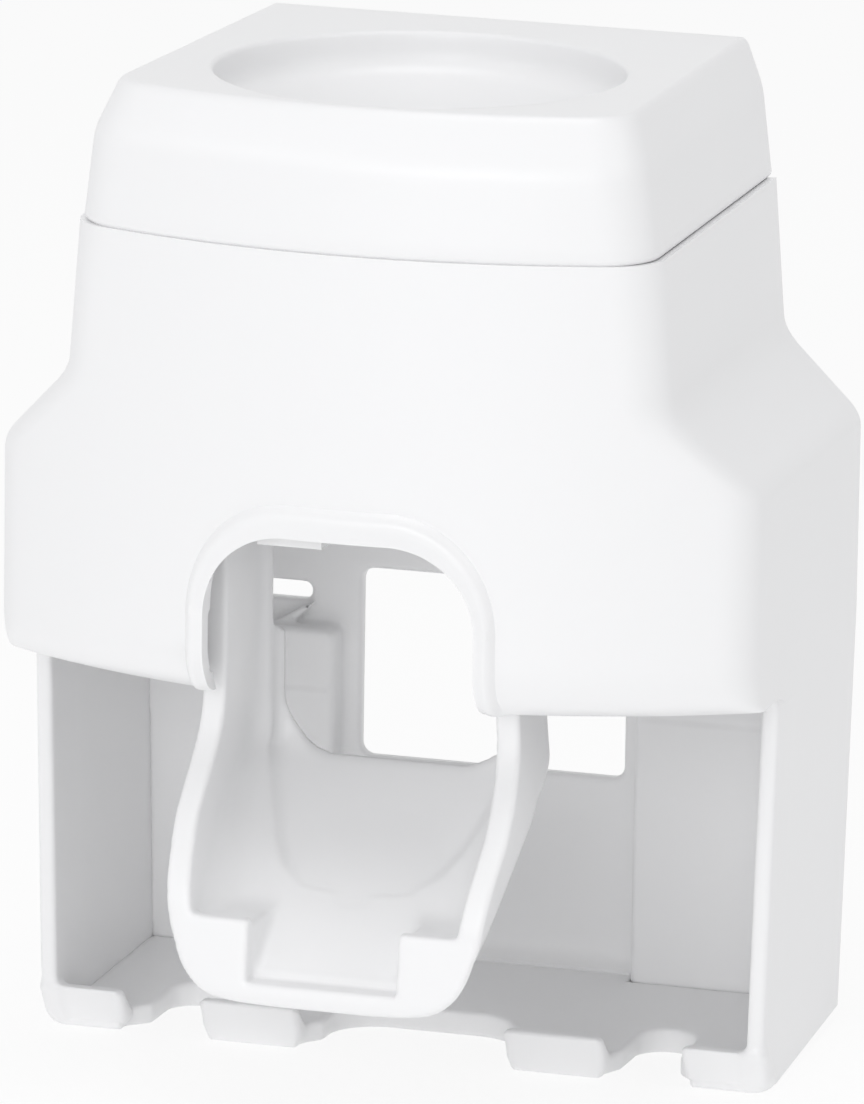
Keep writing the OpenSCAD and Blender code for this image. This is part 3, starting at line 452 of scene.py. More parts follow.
def sideSheet(s):
    # rest of the front, then the corner's circle, then the side to the wall, for every row of heights
    flat, rolled = rowHeights(s)
    v = [np.linspace(0, 1, n)[None] for n in s["columns"]]
    v[3] = v[3] ** s["bunch"]
    ends = np.cumsum([v[0].shape[1], v[1].shape[1] - 1, v[2].shape[1] - 1])
    bunched = np.concatenate([np.ones((1, ends[1])), 1 - smooth(v[2][:, 1:]), 0 * v[3][:, 1:]], 1)
    z = flat[:, None] + (rolled - flat)[:, None] * bunched
    inset = rollInset(z)
    lean = np.arctan(s["sideDraw"])
    def cornerAt(w, inset):
        # the corner tightens as the front moves back, and the side keeps its line
        r = np.maximum(s["cornerR"] - inset, s["leastR"])
        centre = -s["reach"] + inset + s["frontR"] - np.sqrt((s["frontR"] - r) ** 2 - (w - r) ** 2)
        return r, centre, centre + r * np.sin(lean)
    w = halfWidth(z)
    w = w - s["sideDraw"] * (cornerAt(w, inset)[2] - cornerAt(w, 0)[2])
    r, centre, startY = cornerAt(w, inset)
    parts = np.split(np.arange(z.shape[1]), ends)
    pick = lambda a, i: a[:, parts[i]]
    last = np.arcsin((w - r) / (s["frontR"] - r))
    first = np.arcsin(s["split"] / s["frontR"])
    bearing = first + (pick(last, 0) - first) * v[0]
    front = [s["frontR"] * np.sin(bearing),
             -s["reach"] + pick(inset, 0) + s["frontR"] - s["frontR"] * np.cos(bearing)]
    bearing = pick(last, 1) + (np.pi / 2 + lean - pick(last, 1)) * v[1][:, 1:]
    corner = [pick(w - r, 1) + pick(r, 1) * np.sin(bearing), pick(centre, 1) - pick(r, 1) * np.cos(bearing)]
    flank = lambda y, i: pick(w - r + r * np.cos(lean), i) - s["sideDraw"] * (y - pick(startY, i))
    y = pick(startY, 2) + (-s["sideReach"] - pick(startY, 2)) * v[2][:, 1:]
    side = [flank(y, 2), y]
    y = -s["sideReach"] * (1 - v[3][:, 1:]) + 0 * pick(w, 3)
    rear = [flank(y, 3), y]
    x, y = (np.concatenate([part[i] for part in (front, corner, side, rear)], 1) for i in (0, 1))
    return np.stack([x, y, z], -1)

def lowSheet(s):
    # wall below the belly, whose underside rises towards the back; its front edge draws back into the foot
    y = -s["sideReach"] * (1 - np.linspace(0, 1, s["columns"][3])[None] ** s["bunch"])
    low = s["rise"] * (y + s["sideReach"]) / s["sideReach"]
    z = s["bellyZ"] + (low - s["bellyZ"]) * np.linspace(0, 1, 23)[:, None]
    y = y * (1 - 0.2 * smooth((s["bellyZ"] - z) / 1.5))
    return np.stack([sideLine(halfWidth(z), y), y, z], -1)

points, quads = joinSheets([archSheet(shell), sideSheet(shell), lowSheet(shell)])
housingPiece = makePiece("housingShell", makeMesh("housingShell", points, quads[:, ::-1]), "shell", "body",
                         ["housing"])
wallAndEdge(housingPiece, shell["wall"], shell["edge"])

def thinAlongArch(piece, s=shell, steps=8):
    # the wall tapers with the distance from the opening's edge
    place = np.empty(len(piece.data.vertices) * 3, np.float32)
    piece.data.vertices.foreach_get("co", place)
    x, y, z = place.reshape(-1, 3).T * 1000
    spring = s["archTop"] - s["archR"]
    past = np.maximum(np.abs(x) - s["archHalf"] + s["archR"], 0)
    far = np.hypot(past, np.maximum(z - spring, 0)) - s["archR"]
    far = np.where(z < spring, np.abs(x) - s["archHalf"], far)
    share = np.where(y < s["thinFront"], smooth(far / s["thinOver"]), 1)
    group = piece.vertex_groups.new(name="wall")
    for step in range(steps + 1):
        group.add(np.flatnonzero(np.rint(share * steps) == step).tolist(), step / steps, "REPLACE")
    solid = piece.modifiers["wall"]
    solid.vertex_group = "wall"
    solid.thickness_vertex_group = s["thinWall"]

thinAlongArch(housingPiece)
print("housing made:", len(quads), "quads")


# cap: rings from the seam up the side, over the chamfer and the top, down into the bowl
cap = {"seamZ": 121, "top": 140.7, "chamferZ": 133.8, "low": (40.5, 74.8), "lip": (41.0, 75.3),
       "lipIn": 0.12, "lipZ": (121.4, 121.9), "drawZ": 121.7, "sideRows": (123.4, 125.5, 127.7, 129.8, 131.4),
       "softZ": (132.2, 135.3), "upperRows": (136.4, 137.5, 138.6), "edgeZ": 139.5, "edgeIn": 0.85,
       "side": (39.5, 75.1), "upper": (36.8, 70.7), "cornerR": 8.5, "topR": 7.5, "bowlY": -40.6, "bowlR": 28.4,
       "bowlEdge": 0.7, "rimZ": 1.7, "rim": 2.8, "bowlIn": 0.8, "bowlFrom": 0.12, "floorZ": 135.5,
       "deepZ": 129.7, "holeR": 10.4, "wall": 2.2, "edge": 0.25, "counts": (36, 44, 16, 36)}

def outlineRing(w, f, r, back, z, s=shell, counts=cap["counts"]):
    # closed ring: straight back, drawn-in sides, round corners and bowed front
    bow = s["frontR"]
    centre = -f + bow - np.sqrt((bow - r) ** 2 - (w - r) ** 2)
    lean = np.arctan(s["sideDraw"])
    startX, startY = w - r + r * np.cos(lean), centre + r * np.sin(lean)
    backX = startX - s["sideDraw"] * (back - startY)
    last = np.arcsin((w - r) / (bow - r))
    t = [np.linspace(0, 1, n + 1)[:-1] for n in counts]
    corner = np.pi / 2 + lean + (last - np.pi / 2 - lean) * t[2]
    front = last * (1 - t[3])
    x = np.concatenate([backX * t[0], backX + (startX - backX) * t[1], w - r + r * np.sin(corner),
                        bow * np.sin(front), [0]])
    y = np.concatenate([np.full(counts[0], back), back + (startY - back) * t[1], centre - r * np.cos(corner),
                        -f + bow - bow * np.cos(front), [-f]])
    x, y = np.concatenate([x, -x[-2:0:-1]]), np.concatenate([y, y[-2:0:-1]])
    return np.stack([x, y, np.full_like(x, z)], -1)

def curveThrough(a, b, c, steps):
    # a soft corner at b between a and c, a curve of the second degree
    t = np.linspace(0, 1, steps)[:, None]
    a, b, c = (np.array(p, float) for p in (a, b, c))
    return (1 - t) ** 2 * a + 2 * t * (1 - t) * b + t ** 2 * c

def capSideRings(s):
    # rings of half width, reach, corner radius, back and height, from the seam to the flat top
    side, lip, upper = (np.array(s[name]) for name in ("side", "lip", "upper"))
    tall = s["top"] - s["chamferZ"]
    def along(z):
        r = s["cornerR"] + (s["topR"] - s["cornerR"]) * (z - s["chamferZ"]) / tall
        return (*(side + (upper - side) / tall * (z - s["chamferZ"])), r, 0, z)
    def lower(z):
        return (*(lip + (side - lip) * (z - s["drawZ"]) / (s["chamferZ"] - s["drawZ"])), s["cornerR"], 0, z)
    rows = [(*s["low"], s["cornerR"], 0, s["seamZ"]), (*(lip - s["lipIn"]), s["cornerR"], 0, s["lipZ"][0]),
            (*lip, s["cornerR"], 0, s["lipZ"][1])]
    rows += [lower(z) for z in s["sideRows"]]
    rows += list(curveThrough(lower(s["softZ"][0]), along(s["chamferZ"]), along(s["softZ"][1]), 7))
    rows += [along(z) for z in s["upperRows"]]
    edge = (*(upper - s["edgeIn"]), s["topR"] - s["edgeIn"], -s["edgeIn"], s["top"])
    rows += list(curveThrough(along(s["edgeZ"]), along(s["top"]), edge, 7))
    return [outlineRing(*row) for row in rows]

def capRings(s):
    # the side, the flat top narrowing to the bowl's circle, then the bowl, a quarter sine down to its hole
    rings = capSideRings(s)
    top = rings[-1]
    bearing = np.arctan2(top[:, 0], top[:, 1] - s["bowlY"])
    circle = lambda radius, z: np.stack([radius * np.sin(bearing), s["bowlY"] + radius * np.cos(bearing),
                                         np.full_like(bearing, z)], -1)
    edgeCircle = circle(s["bowlR"] + s["bowlEdge"], s["top"])
    rings += [top + (edgeCircle - top) * t for t in np.linspace(0, 1, 8)[1:]]
    rings += [circle(s["bowlR"] + s["bowlEdge"] * (1 - np.sin(t)), s["top"] - s["bowlEdge"] * (1 - np.cos(t)))
              for t in np.radians([30, 60, 90])]
    u = np.linspace(s["bowlFrom"], 1, 15)
    bowl = np.stack([s["bowlR"] - s["bowlIn"] - (s["bowlR"] - s["bowlIn"] - s["holeR"]) * u,
                     s["floorZ"] - (s["floorZ"] - s["deepZ"]) * np.sin(u * np.pi / 2)], -1)
    bend = curveThrough((s["bowlR"], s["top"] - s["rim"]), (s["bowlR"] - 0.1, s["floorZ"] - 0.3), bowl[0], 8)
    down = np.concatenate([[(s["bowlR"], s["top"] - s["rimZ"])], bend, bowl[1:]])
    return np.array(rings + [circle(radius, z) for radius, z in down])

rings = capRings(cap)
quads = latticeQuads(*rings.shape[:2], closed=True)
capPiece = makePiece("capShell", makeMesh("capShell", rings.reshape(-1, 3), quads[:, ::-1]), "shell", "cap",
                     ["top_cap"])
wallAndEdge(capPiece, cap["wall"], cap["edge"])

# skirt: a closed band inside the housing's rim, given by half width, reach, corner radius and back
skirt = {"outer": (39.0, 72.7, 6.1, -4), "inner": (37.4, 71.1, 4.5, -5.6), "low": 117, "top": 122.6,
         "edge": 0.3}
around = (("outer", "low"), ("outer", "top"), ("inner", "top"), ("inner", "low"), ("outer", "low"))
rings = np.array([outlineRing(*skirt[side], skirt[level]) for side, level in around])
quads = latticeQuads(*rings.shape[:2], closed=True)
skirtPiece = makePiece("capSkirt", makeMesh("capSkirt", rings.reshape(-1, 3), quads, orient=True), "inside",
                       "cap")
wallAndEdge(skirtPiece, 0, skirt["edge"])
print("cap made")


# solids given by a signed distance in millimetres, negative inside; edges rounded by soft joins
def both(*fields, r=0.0):
    # intersection with an outside edge of about radius r
    result = fields[0]
    for field in fields[1:]:
        h = np.maximum(r - np.abs(result - field), 0)
        result = np.maximum(result, field) + (h * h / (4 * r) if r else 0)
    return result

def either(*fields, r=0.0):
    # union with an inside edge of about radius r
    return -both(*[-field for field in fields], r=r)

def slab(t, low, high):
    return np.maximum(low - t, t - high)

def roundCorner(a, b, r):
    # intersection of two half spaces whose corner has radius r
    p, q = a + r, b + r
    return np.where((p > 0) & (q > 0), np.hypot(np.maximum(p, 0), np.maximum(q, 0)) - r, np.maximum(a, b))

def roundedRect(a, b, halfA, halfB, r):
    # distance to a rectangle about the origin whose corners have radius r
    qa, qb = np.abs(a) - halfA + r, np.abs(b) - halfB + r
    return np.hypot(np.maximum(qa, 0), np.maximum(qb, 0)) + np.minimum(np.maximum(qa, qb), 0) - r

def panel(a, b, spans, r):
    # the same for a rectangle given by its spans (a0, a1, b0, b1)
    a0, a1, b0, b1 = spans
    return roundedRect(a - (a0 + a1) / 2, b - (b0 + b1) / 2, (a1 - a0) / 2, (b1 - b0) / 2, r)

def polygonDistance(corners, a, b):
    # signed distance to a polygon in the plane (a, b): nearest side, with the sign from the crossings
    corners = np.array(corners, float)
    best, inside = np.full(np.broadcast(a, b).shape, 1e9), np.zeros(np.broadcast(a, b).shape, bool)
    for p, q in zip(corners, np.roll(corners, -1, 0)):
        e = q - p
        t = np.clip(((a - p[0]) * e[0] + (b - p[1]) * e[1]) / (e @ e), 0, 1)
        best = np.minimum(best, np.hypot(a - p[0] - t * e[0], b - p[1] - t * e[1]))
        if e[1]:
            inside ^= ((p[1] > b) != (q[1] > b)) & (a < p[0] + (b - p[1]) * e[0] / e[1])
    return np.where(inside, -best, best)

def crossedCells(value):
    # where the surface crosses the lattice: the mean of each cell's edge crossings, and the crossed edges
    count = value.shape
    solid = value < 0
    total = np.zeros((*(n - 1 for n in count), 3), np.float32)
    number = np.zeros(total.shape[:3], np.float32)
    crossed = []
    for axis in range(3):
        take = lambda a, i, j: np.take(a, np.arange(i, a.shape[axis] + j), axis)
        before, after = take(value, 0, -1), take(value, 1, 0)
        hit = take(solid, 0, -1) != take(solid, 1, 0)
        share = np.where(hit, before / np.where(hit, before - after, 1), 0)
        crossed.append((hit, take(solid, 0, -1)))
        others = [i for i in range(3) if i != axis]
        for j in (0, 1):
            for k in (0, 1):
                cut = [slice(None)] * 3
                cut[others[0]] = slice(j, count[others[0]] - 1 + j)
                cut[others[1]] = slice(k, count[others[1]] - 1 + k)
                h, t = hit[tuple(cut)], share[tuple(cut)]
                number += h
                total[..., axis] += h * t
                total[..., others[0]] += h * j
                total[..., others[1]] += h * k
    used = number > 0
    return used, np.argwhere(used) + total[used] / number[used][:, None], crossed

def edgeQuads(crossed, index, count):
    # a quad round each crossed lattice edge, turned so that it faces out
    quads = []
    for axis, (hit, inward) in enumerate(crossed):
        others = [(axis + 1) % 3, (axis + 2) % 3]
        at = np.argwhere(hit)
        at = at[(at[:, others[0]] > 0) & (at[:, others[1]] > 0) & (at[:, others[0]] < count[others[0]] - 1)
                & (at[:, others[1]] < count[others[1]] - 1)]
        ring = []
        for j, k in ((-1, -1), (0, -1), (0, 0), (-1, 0)):
            c = at.copy()
            c[:, others[0]] += j
            c[:, others[1]] += k
            ring.append(index[tuple(c.T)])
        ring = np.stack(ring, -1)
        way = inward[tuple(at.T)]
        ring[~way] = ring[~way][:, ::-1]
        quads.append(ring)
    return np.concatenate(quads)

def settle(field, p, longest, e=0.05):
    # two steps along the gradient onto the surface
    for _ in range(2):
        f = field(*p.T)
        slope = np.stack([(field(*(p + e * np.eye(3)[i]).T) - field(*(p - e * np.eye(3)[i]).T)) / (2 * e)
                          for i in range(3)], -1)
        step = -f[:, None] * slope / np.maximum((slope ** 2).sum(-1, keepdims=True), 0.2)
        length = np.linalg.norm(step, axis=1, keepdims=True)
        p = p + step * np.minimum(1, longest / np.maximum(length, 1e-9))
    return p

def neighbourMean(points, quads):
    mean, number = np.zeros_like(points), np.zeros(len(points))
    for a, b in ((0, 1), (1, 2), (2, 3), (3, 0)):
        for i, j in ((a, b), (b, a)):
            for c in range(3):
                mean[:, c] += np.bincount(quads[:, i], points[quads[:, j], c], len(points))
            number += np.bincount(quads[:, i], minlength=len(points))
    return mean / number[:, None]

def netSurface(field, s, relax=2):
    # one vertex in each lattice cell that the surface crosses, settled on it, then evened out
    low, high, cell = (np.array(s[name], float) for name in ("low", "high", "cell"))
    count = np.ceil((high - low) / cell).astype(int) + 1
    axes = [low[i] + cell[i] * np.arange(count[i]) for i in range(3)]
    value = field(axes[0][:, None, None], axes[1][None, :, None], axes[2][None, None, :])
    used, cells, crossed = crossedCells(np.broadcast_to(value, count).astype(np.float32))
    index = np.full(used.shape, -1)
    index[used] = np.arange(used.sum())
    quads = edgeQuads(crossed, index, count)
    points = settle(field, low + cell * cells, cell.min())
    for _ in range(relax):
        points = settle(field, points + 0.5 * (neighbourMean(points, quads) - points), cell.min())
    return points, quads


# lever: cup with its rim, inner recess and notch, and two arms up to the axle and the cross pin
lever = {"cell": (0.55, 0.55, 0.55), "low": (-24.6, -80.73, 15.17), "high": (24.6, -12.6, 108.8),
         "rim": 3.4, "back": 3.0, "front": 2.2, "ledge": 27.2, "lip": 28, "foot": 16, "fullZ": 40,
         "half": 23.9, "taper": 1.1, "taperOver": 18, "draft": 0.11, "round": 5,
         "frontY": 63.4, "belly": 15, "bellyTop": 54, "bellyOver": 26, "chin": 0.12, "chinZ": 28,
         "backY": 43, "slope": 1.18, "slopeZ": 45.7, "slopeSoft": 2.5, "topZ": 78, "shoulder": (-47, 61.5),
         "notchHalf": 10.8, "notchZ": 19.5, "notchBack": -76.1, "openHalf": 17, "openZ": 44.4, "openR": 8,
         "openFront": -58, "arm": (19.9, 22.7), "axle": (-44, 88.5), "cross": (-17.8, 103.5), "pinR": 2.0,
         "beamR": (5.6, 4.4), "cornerR": 6, "recessR": 2.0,
         "post": ((-62.8, 60), (-46.8, 60), (-38.5, 87.2), (-40, 92), (-44.5, 94.1), (-48.6, 92), (-62.8, 80)),
         "recess": 1.4, "recessLow": 27.8, "recessFront": -76, "fadeFrom": 16, "fadeOver": 9,
         "fade": (1.2, 10), "recessZ": (20, 29.5, 30.0, 32, 35, 40, 45, 90),
         "recessX": (0, 4, 9, 11.7, 14, 16.3, 18, 18)}

def cupHalf(z, s=lever):
    # half width of the cup: drawn in above and below, and closed by a rounded curve at the foot
    low = np.maximum(0, s["fullZ"] - z)
    share = np.clip(low / (s["fullZ"] - s["foot"] + 0.05), 0, 0.9995)
    upper = s["half"] - s["taper"] * smooth((z - s["fullZ"]) / s["taperOver"])
    return np.where(z >= s["fullZ"], upper, (s["half"] - s["draft"] * low) * (1 - share ** s["round"]) ** 0.2)

def cupFront(z, s=lever):
    # reach of the rim: a smooth step out to the cup, then a slight lean to the foot
    return s["frontY"] + s["belly"] * smooth((s["bellyTop"] - z) / s["bellyOver"]) + s["chin"] * np.maximum(
        0, s["chinZ"] - z)

def cupBack(z, s=lever):
    # reach of the back wall: upright above, sloping forwards below
    return s["backY"] + s["slope"] * softRamp(s["slopeZ"] - z, s["slopeSoft"])

def leverField(x, y, z, s=lever):
    # cup outline less its hollow, recess, notch and rear opening, the arms joined on, the pins' holes cut
    ax = np.abs(x)
    scale = lambda g: 1 / np.sqrt(1 + np.minimum(((g(z + 0.1) - g(z - 0.1)) / 0.2) ** 2, 16))
    w, f, b = cupHalf(z), cupFront(z), cupBack(z)
    thinW, thinF, thinB = scale(cupHalf), scale(cupFront), scale(cupBack)
    deep = np.clip((f - b) * 0.8, 1.2, 9)
    outside = roundCorner((ax - w) * thinW, (y + b) * thinB, deep)
    outside = both(outside, (-y - f) * thinF, r=0.7)
    outside = both(outside, s["foot"] - z, r=2.0)
    outside = both(outside, z - s["topZ"], either(z - s["shoulder"][1], y - s["shoulder"][0], r=3), r=1.2)
    hollow = roundCorner(ax - (w - s["rim"]), (y + b + s["back"]) * thinB, s["cornerR"])
    # a ledge on each side of a channel that runs down to the notch
    floor = either(s["ledge"] - z, both(ax - s["notchHalf"], s["notchZ"] - z, r=1.0), r=0.9)
    hollow = both(hollow, floor, r=1.6)
    hollow = both(hollow, either((-y - f + s["front"]) * thinF, s["lip"] - z), r=0.8)
    wide = np.interp(np.broadcast_to(z, np.broadcast(x, y, z).shape), s["recessZ"], s["recessX"])
    # back wall set in, with a firm edge at the sides that fades out along the floor
    fade = s["fade"][0] + s["fade"][1] * smooth((s["fadeFrom"] - ax) / s["fadeOver"])
    sunk = s["recess"] * smooth((z - s["recessLow"]) / fade)
    recess = both(roundCorner(ax - wide, (y + b + s["back"] - sunk) * thinB, s["recessR"]), s["recessLow"] - z,
                  s["recessFront"] - y, r=1.0)
    notch = both(ax - s["notchHalf"], s["notchZ"] - z, y - s["notchBack"], r=0.5)
    opening = both(roundCorner(ax - s["openHalf"], s["openZ"] - z, s["openR"]), s["openFront"] - y)
    cup = both(outside, -hollow, r=0.6)
    cup = both(cup, -recess, r=0.35)
    cup = both(cup, -notch, r=0.55)
    cup = both(cup, -opening, r=1.2)
    (ay, az), (cy, cz) = s["axle"], s["cross"]
    along = np.clip(((y - ay) * (cy - ay) + (z - az) * (cz - az)) / ((cy - ay) ** 2 + (cz - az) ** 2), 0, 1)
    thick = s["beamR"][0] + (s["beamR"][1] - s["beamR"][0]) * along
    beam = np.hypot(y - ay - along * (cy - ay), z - az - along * (cz - az)) - thick
    middle, half = sum(s["arm"]) / 2, (s["arm"][1] - s["arm"][0]) / 2
    arm = both(either(polygonDistance(s["post"], y, z), beam, r=3), np.abs(ax - middle) - half, r=0.7)
    solid = either(cup, arm, r=1.2)
    pins = np.minimum(np.hypot(y - ay, z - az), np.hypot(y - cy, z - cz)) - s["pinR"]
    return both(solid, -pins)

points, quads = netSurface(leverField, lever)
makePiece("leverCup", makeMesh("leverCup", points, quads, weld=0), "shell", "lever", ["lever"])
print("lever made:", len(quads), "quads")


# tray: falling floor with notches and forward-leaning lips
tray = {"cell": (0.55, 0.45, 0.45), "low": (-53.6, -45.2, -0.8), "high": (53.6, 0.4, 7.4), "floor": 2.6,
        "rise": 2.4, "riseFrom": -41.2, "riseOver": 40.9, "span": (-41.4, -0.3), "sideGap": 2.2,
        "lips": ((-29.6, -15.1), (15.1, 29.6)), "lipR": 2.3,
        "lip": ((-40.8, 0), (-44.2, 6.3), (-42.0, 6.3), (-38.2, 2.6), (-36.2, 0)),
        "brush": (34.6, 4.2, -25.2, 4.0, 0.6, 2.3), "middle": (0, 13.4, -26.7, 7.0, 0, 2.5), "flareY": -35.6,
        "flareOver": 4, "boxRoom": (22.25, -6.75, 3.6), "plateRoom": (-2.3, 4.1),
        "screws": ((28, -3.7), (42, -3.7)), "screwR": 1.65, "headR": 3.0, "headDeep": 1.4}

def lipField(x, y, z, low, high, s=tray):
    # hooked lip whose foot sits behind its top, its lower corners rounded
    middle, half = (low + high) / 2, (high - low) / 2
    a, c = np.abs(x - middle) - half + s["lipR"], s["lipR"] - z
    corner = np.hypot(np.maximum(a, 0), np.maximum(c, 0)) - s["lipR"]
    ends = np.where((a > 0) & (c > 0), corner, np.abs(x - middle) - half)
    return both(polygonDistance(s["lip"], y, z), ends, r=1.2)

def nearestAxis(a, b, places):
    # distance to the nearest of several axes
    return np.minimum(*[np.hypot(a - p, b - q) for p, q in places])

def trayField(x, y, z, s=tray):
    # floor between the walls less its notches, lips joined on, room for the boxes, the plate and the screws
    ax = np.abs(x)
    side = sideLine(halfWidth(np.maximum(z, 0)), y) - s["sideGap"]
    top = s["floor"] + s["rise"] * (y - s["riseFrom"]) / s["riseOver"]
    floor = both(ax - side, slab(y, *s["span"]), slab(z, 0, 1e3), z - top, r=0.5)
    opened = smooth((s["flareY"] - y) / s["flareOver"])
    def notch(centre, half, depth, r, shift, flare):
        # the mouth opens out to the ends of the lips
        return roundCorner(np.abs(ax - centre - shift * opened) - half - flare * opened, y - depth, r)
    floor = both(floor, -notch(*s["brush"]), -notch(*s["middle"]), r=0.6)
    lips = np.minimum(*[lipField(x, y, z, *ends) for ends in s["lips"]])
    solid = either(floor, lips, r=1.2)
    boxX, boxY, boxZ = s["boxRoom"]
    plateY, plateZ = s["plateRoom"]
    solid = both(solid, -both(boxX - ax, boxY - y, boxZ - z), -both(plateY - y, plateZ - z))
    screws = nearestAxis(ax, y, s["screws"])
    return both(solid, -np.minimum(screws - s["screwR"], both(screws - s["headR"], z - s["headDeep"])), r=0.15)

points, quads = netSurface(trayField, tray)
makePiece("brushTray", makeMesh("brushTray", points, quads, weld=0), "shell", "body",
          ["brush_tray"])
print("tray made:", len(quads), "quads")


# side feet: the rounded front edge of each lower wall, carried round at the foot into the end lip
foot = {"cell": (0.5, 0.5, 0.5), "low": (39.8, -45.4, -0.9), "high": (56.3, -27.4, 58.6), "lip": (40.9, 53),
        "leanZ": 9.5, "lean": 3.4, "edgeR": 1.0, "cornerR": 4.4, "topZ": 58.4, "back": -28, "wall": 2.4,
        "into": 0.35, "proud": 0.03, "fadeZ": 56, "fadeOverZ": 1.2, "fadeY": -35.5, "fadeOverY": 7}

def footField(x, y, z, s=foot):
    # a strip of the side wall whose front face leans back at the foot, sinking into the wall at its ends
    outer = sideLine(halfWidth(np.maximum(z, 0)), y)
    lean = np.clip(1 - z / s["leanZ"], 0, 1)
    sunk = np.maximum(smooth((z - s["fadeZ"]) / s["fadeOverZ"]), smooth((y - s["fadeY"]) / s["fadeOverY"]))
    into = s["into"] * sunk - s["proud"]
    flank, face = x - outer + into, s["lean"] * lean ** 2 - shell["sideReach"] - y
    r = s["edgeR"] + (s["cornerR"] - s["edgeR"]) * smooth(lean)
    post = np.maximum(flank, face) + np.maximum(r - np.abs(flank - face), 0) ** 2 / (4 * r)
    under = shell["rise"] * (y + shell["sideReach"]) / shell["sideReach"] - z
    post = both(post, outer - s["wall"] - x + into, r=0.7)
    post = both(post, z - s["topZ"], y - s["back"], under, r=0.4)
    return either(post, lipField(x, y, z, *s["lip"]), r=1.6)

points, quads = netSurface(footField, foot)
for name, mesh in mirroredMeshes("sideFoot", points, quads):
    makePiece("sideFoot_" + name, mesh, "shell", "body")
print("side feet made:", len(quads), "quads each")


# back plate: window, hook slots and two boxes with pockets for the wall pads
plate = {"cell": (0.75, 0.42, 0.75), "low": (-54.6, -7.4, 3.0), "high": (54.6, 0.5, 121.7), "thick": 2.2,
         "lowZ": 4.2, "topZ": 120.9, "sideTop": 121, "sideGap": 2.3, "window": (-19.7, 19.7, 32.9, 60.4),
         "windowR": 1.8, "slot": (27.2, 39.2, 55.0, 57.6), "slotR": 1.2, "box": (22.4, 60, 3.7, 51.8),
         "boxR": 1.6, "pocket": (24.0, 46.6, 10.7, 50.2), "pocketR": 0.8, "deep": 6.6, "boxWall": 1.6,
         "groove": 43.4, "grooveR": 0.35, "screws": ((40.5, 66), (34, 108)), "screwR": 1.65, "headR": 3.0,
         "headY": -1.2, "coveR": 4.0, "coveZ": 4.7, "guideY": (-4.4, -1.5), "traySink": 9.5, "trayScrewR": 1.5,
         "guide": ((26.4, 55.0), (27.6, 54.6), (34.2, 50.6), (34.2, 48.6), (32.6, 48.6))}

def plateField(x, y, z, s=plate):
    # sheet with boxes, cove and guides joined on, less the window, slots, pockets and screw holes
    ax = np.abs(x)
    side = sideLine(halfWidth(np.clip(z, 0, s["sideTop"])), y) - s["sideGap"]
    sheet = both(slab(y, -s["thick"], 0), ax - side, slab(z, s["lowZ"], s["topZ"]), r=0.35)
    block = both(both(panel(ax, z, s["box"], s["boxR"]), slab(y, -s["deep"], 0), r=1.0), ax - side)
    block = both(block, s["grooveR"] - np.hypot(y + s["deep"], z - s["groove"]), r=0.2)
    solid = either(sheet, block, r=0.9)
    # cove along the foot, down to the tray's floor
    r = s["coveR"]
    cove = both(r - np.hypot(y + s["thick"] + r, z - s["coveZ"] - r), slab(y, -s["thick"] - r + 0.3, -0.6),
                slab(z, s["coveZ"] - 0.15, s["coveZ"] + r), ax - s["box"][0] - 0.5)
    solid = either(solid, cove, r=0.5)
    pocket = both(panel(ax, z, s["pocket"], s["pocketR"]), -s["deep"] + s["boxWall"] - y)
    window = panel(x, z, s["window"], s["windowR"])
    slot = panel(ax, z, s["slot"], s["slotR"])
    # sloping guide below the inner end of each slot
    solid = either(solid, both(polygonDistance(s["guide"], ax, z), slab(y, *s["guideY"]), r=0.4), r=0.4)
    screws = nearestAxis(ax, z, s["screws"])
    heads = np.minimum(screws - s["screwR"], both(screws - s["headR"], s["headY"] - y))
    under = nearestAxis(ax, y, tray["screws"]) - s["trayScrewR"]
    solid = both(solid, -window, -slot, r=0.5)
    return both(solid, -pocket, -heads, -both(under, z - s["traySink"]), r=0.15)

points, quads = netSurface(plateField, plate)
makePiece("backPlate", makeMesh("backPlate", points, quads, weld=0), "shell", "body",
          ["back_plate"])
print("back plate made:", len(quads), "quads")


# bosses and lugs inside the housing, seen with the cap off; a lug has its spans in x and z, and its screw's x
inner = {"cell": (0.6, 0.6, 0.6), "low": (-55, -58.5, 61), "high": (55, -1.5, 113),
         "boss": ((44, -54), (44, -12)), "bossR": 3.6, "bossZ": (84.8, 96.6), "bore": 1.5, "into": 1.0,
         "lug": ((30, 48, 104, 112, 34), (36.5, 54.5, 62, 70, 40.5)), "lugY": (-11.3, -2.3)}

def innerField(x, y, z, s=inner):
    # round posts and square lugs, each with its bore, cut to the housing's side wall
    ax = np.abs(x)
    shapes = []
    for a, b in s["boss"]:
        far = np.hypot(ax - a, y - b)
        shapes.append(both(far - s["bossR"], slab(z, *s["bossZ"]), s["bore"] - far, r=0.4))
    for x0, x1, z0, z1, screw in s["lug"]:
        far = np.hypot(ax - screw, z - (z0 + z1) / 2)
        shapes.append(both(slab(ax, x0, x1), slab(y, *s["lugY"]), slab(z, z0, z1), s["bore"] - far, r=0.5))
    return both(np.minimum.reduce(shapes), ax - sideLine(halfWidth(z), y) + s["into"])

points, quads = netSurface(innerField, inner, relax=1)
makePiece("housingBosses", makeMesh("housingBosses", points, quads, weld=0), "shell", "body")
print("bosses made:", len(quads), "quads")


# wall pads: foam slabs with soft edges
pad = {"cell": (0.6, 0.4, 0.6), "low": (23.4, -5.8, 10.2), "high": (47.2, 1.2, 50.7),
       "face": (24.3, 46.3, 11.0, 49.9), "y": (-5.0, 0.4), "cornerR": 1.2, "pinch": 0.25}

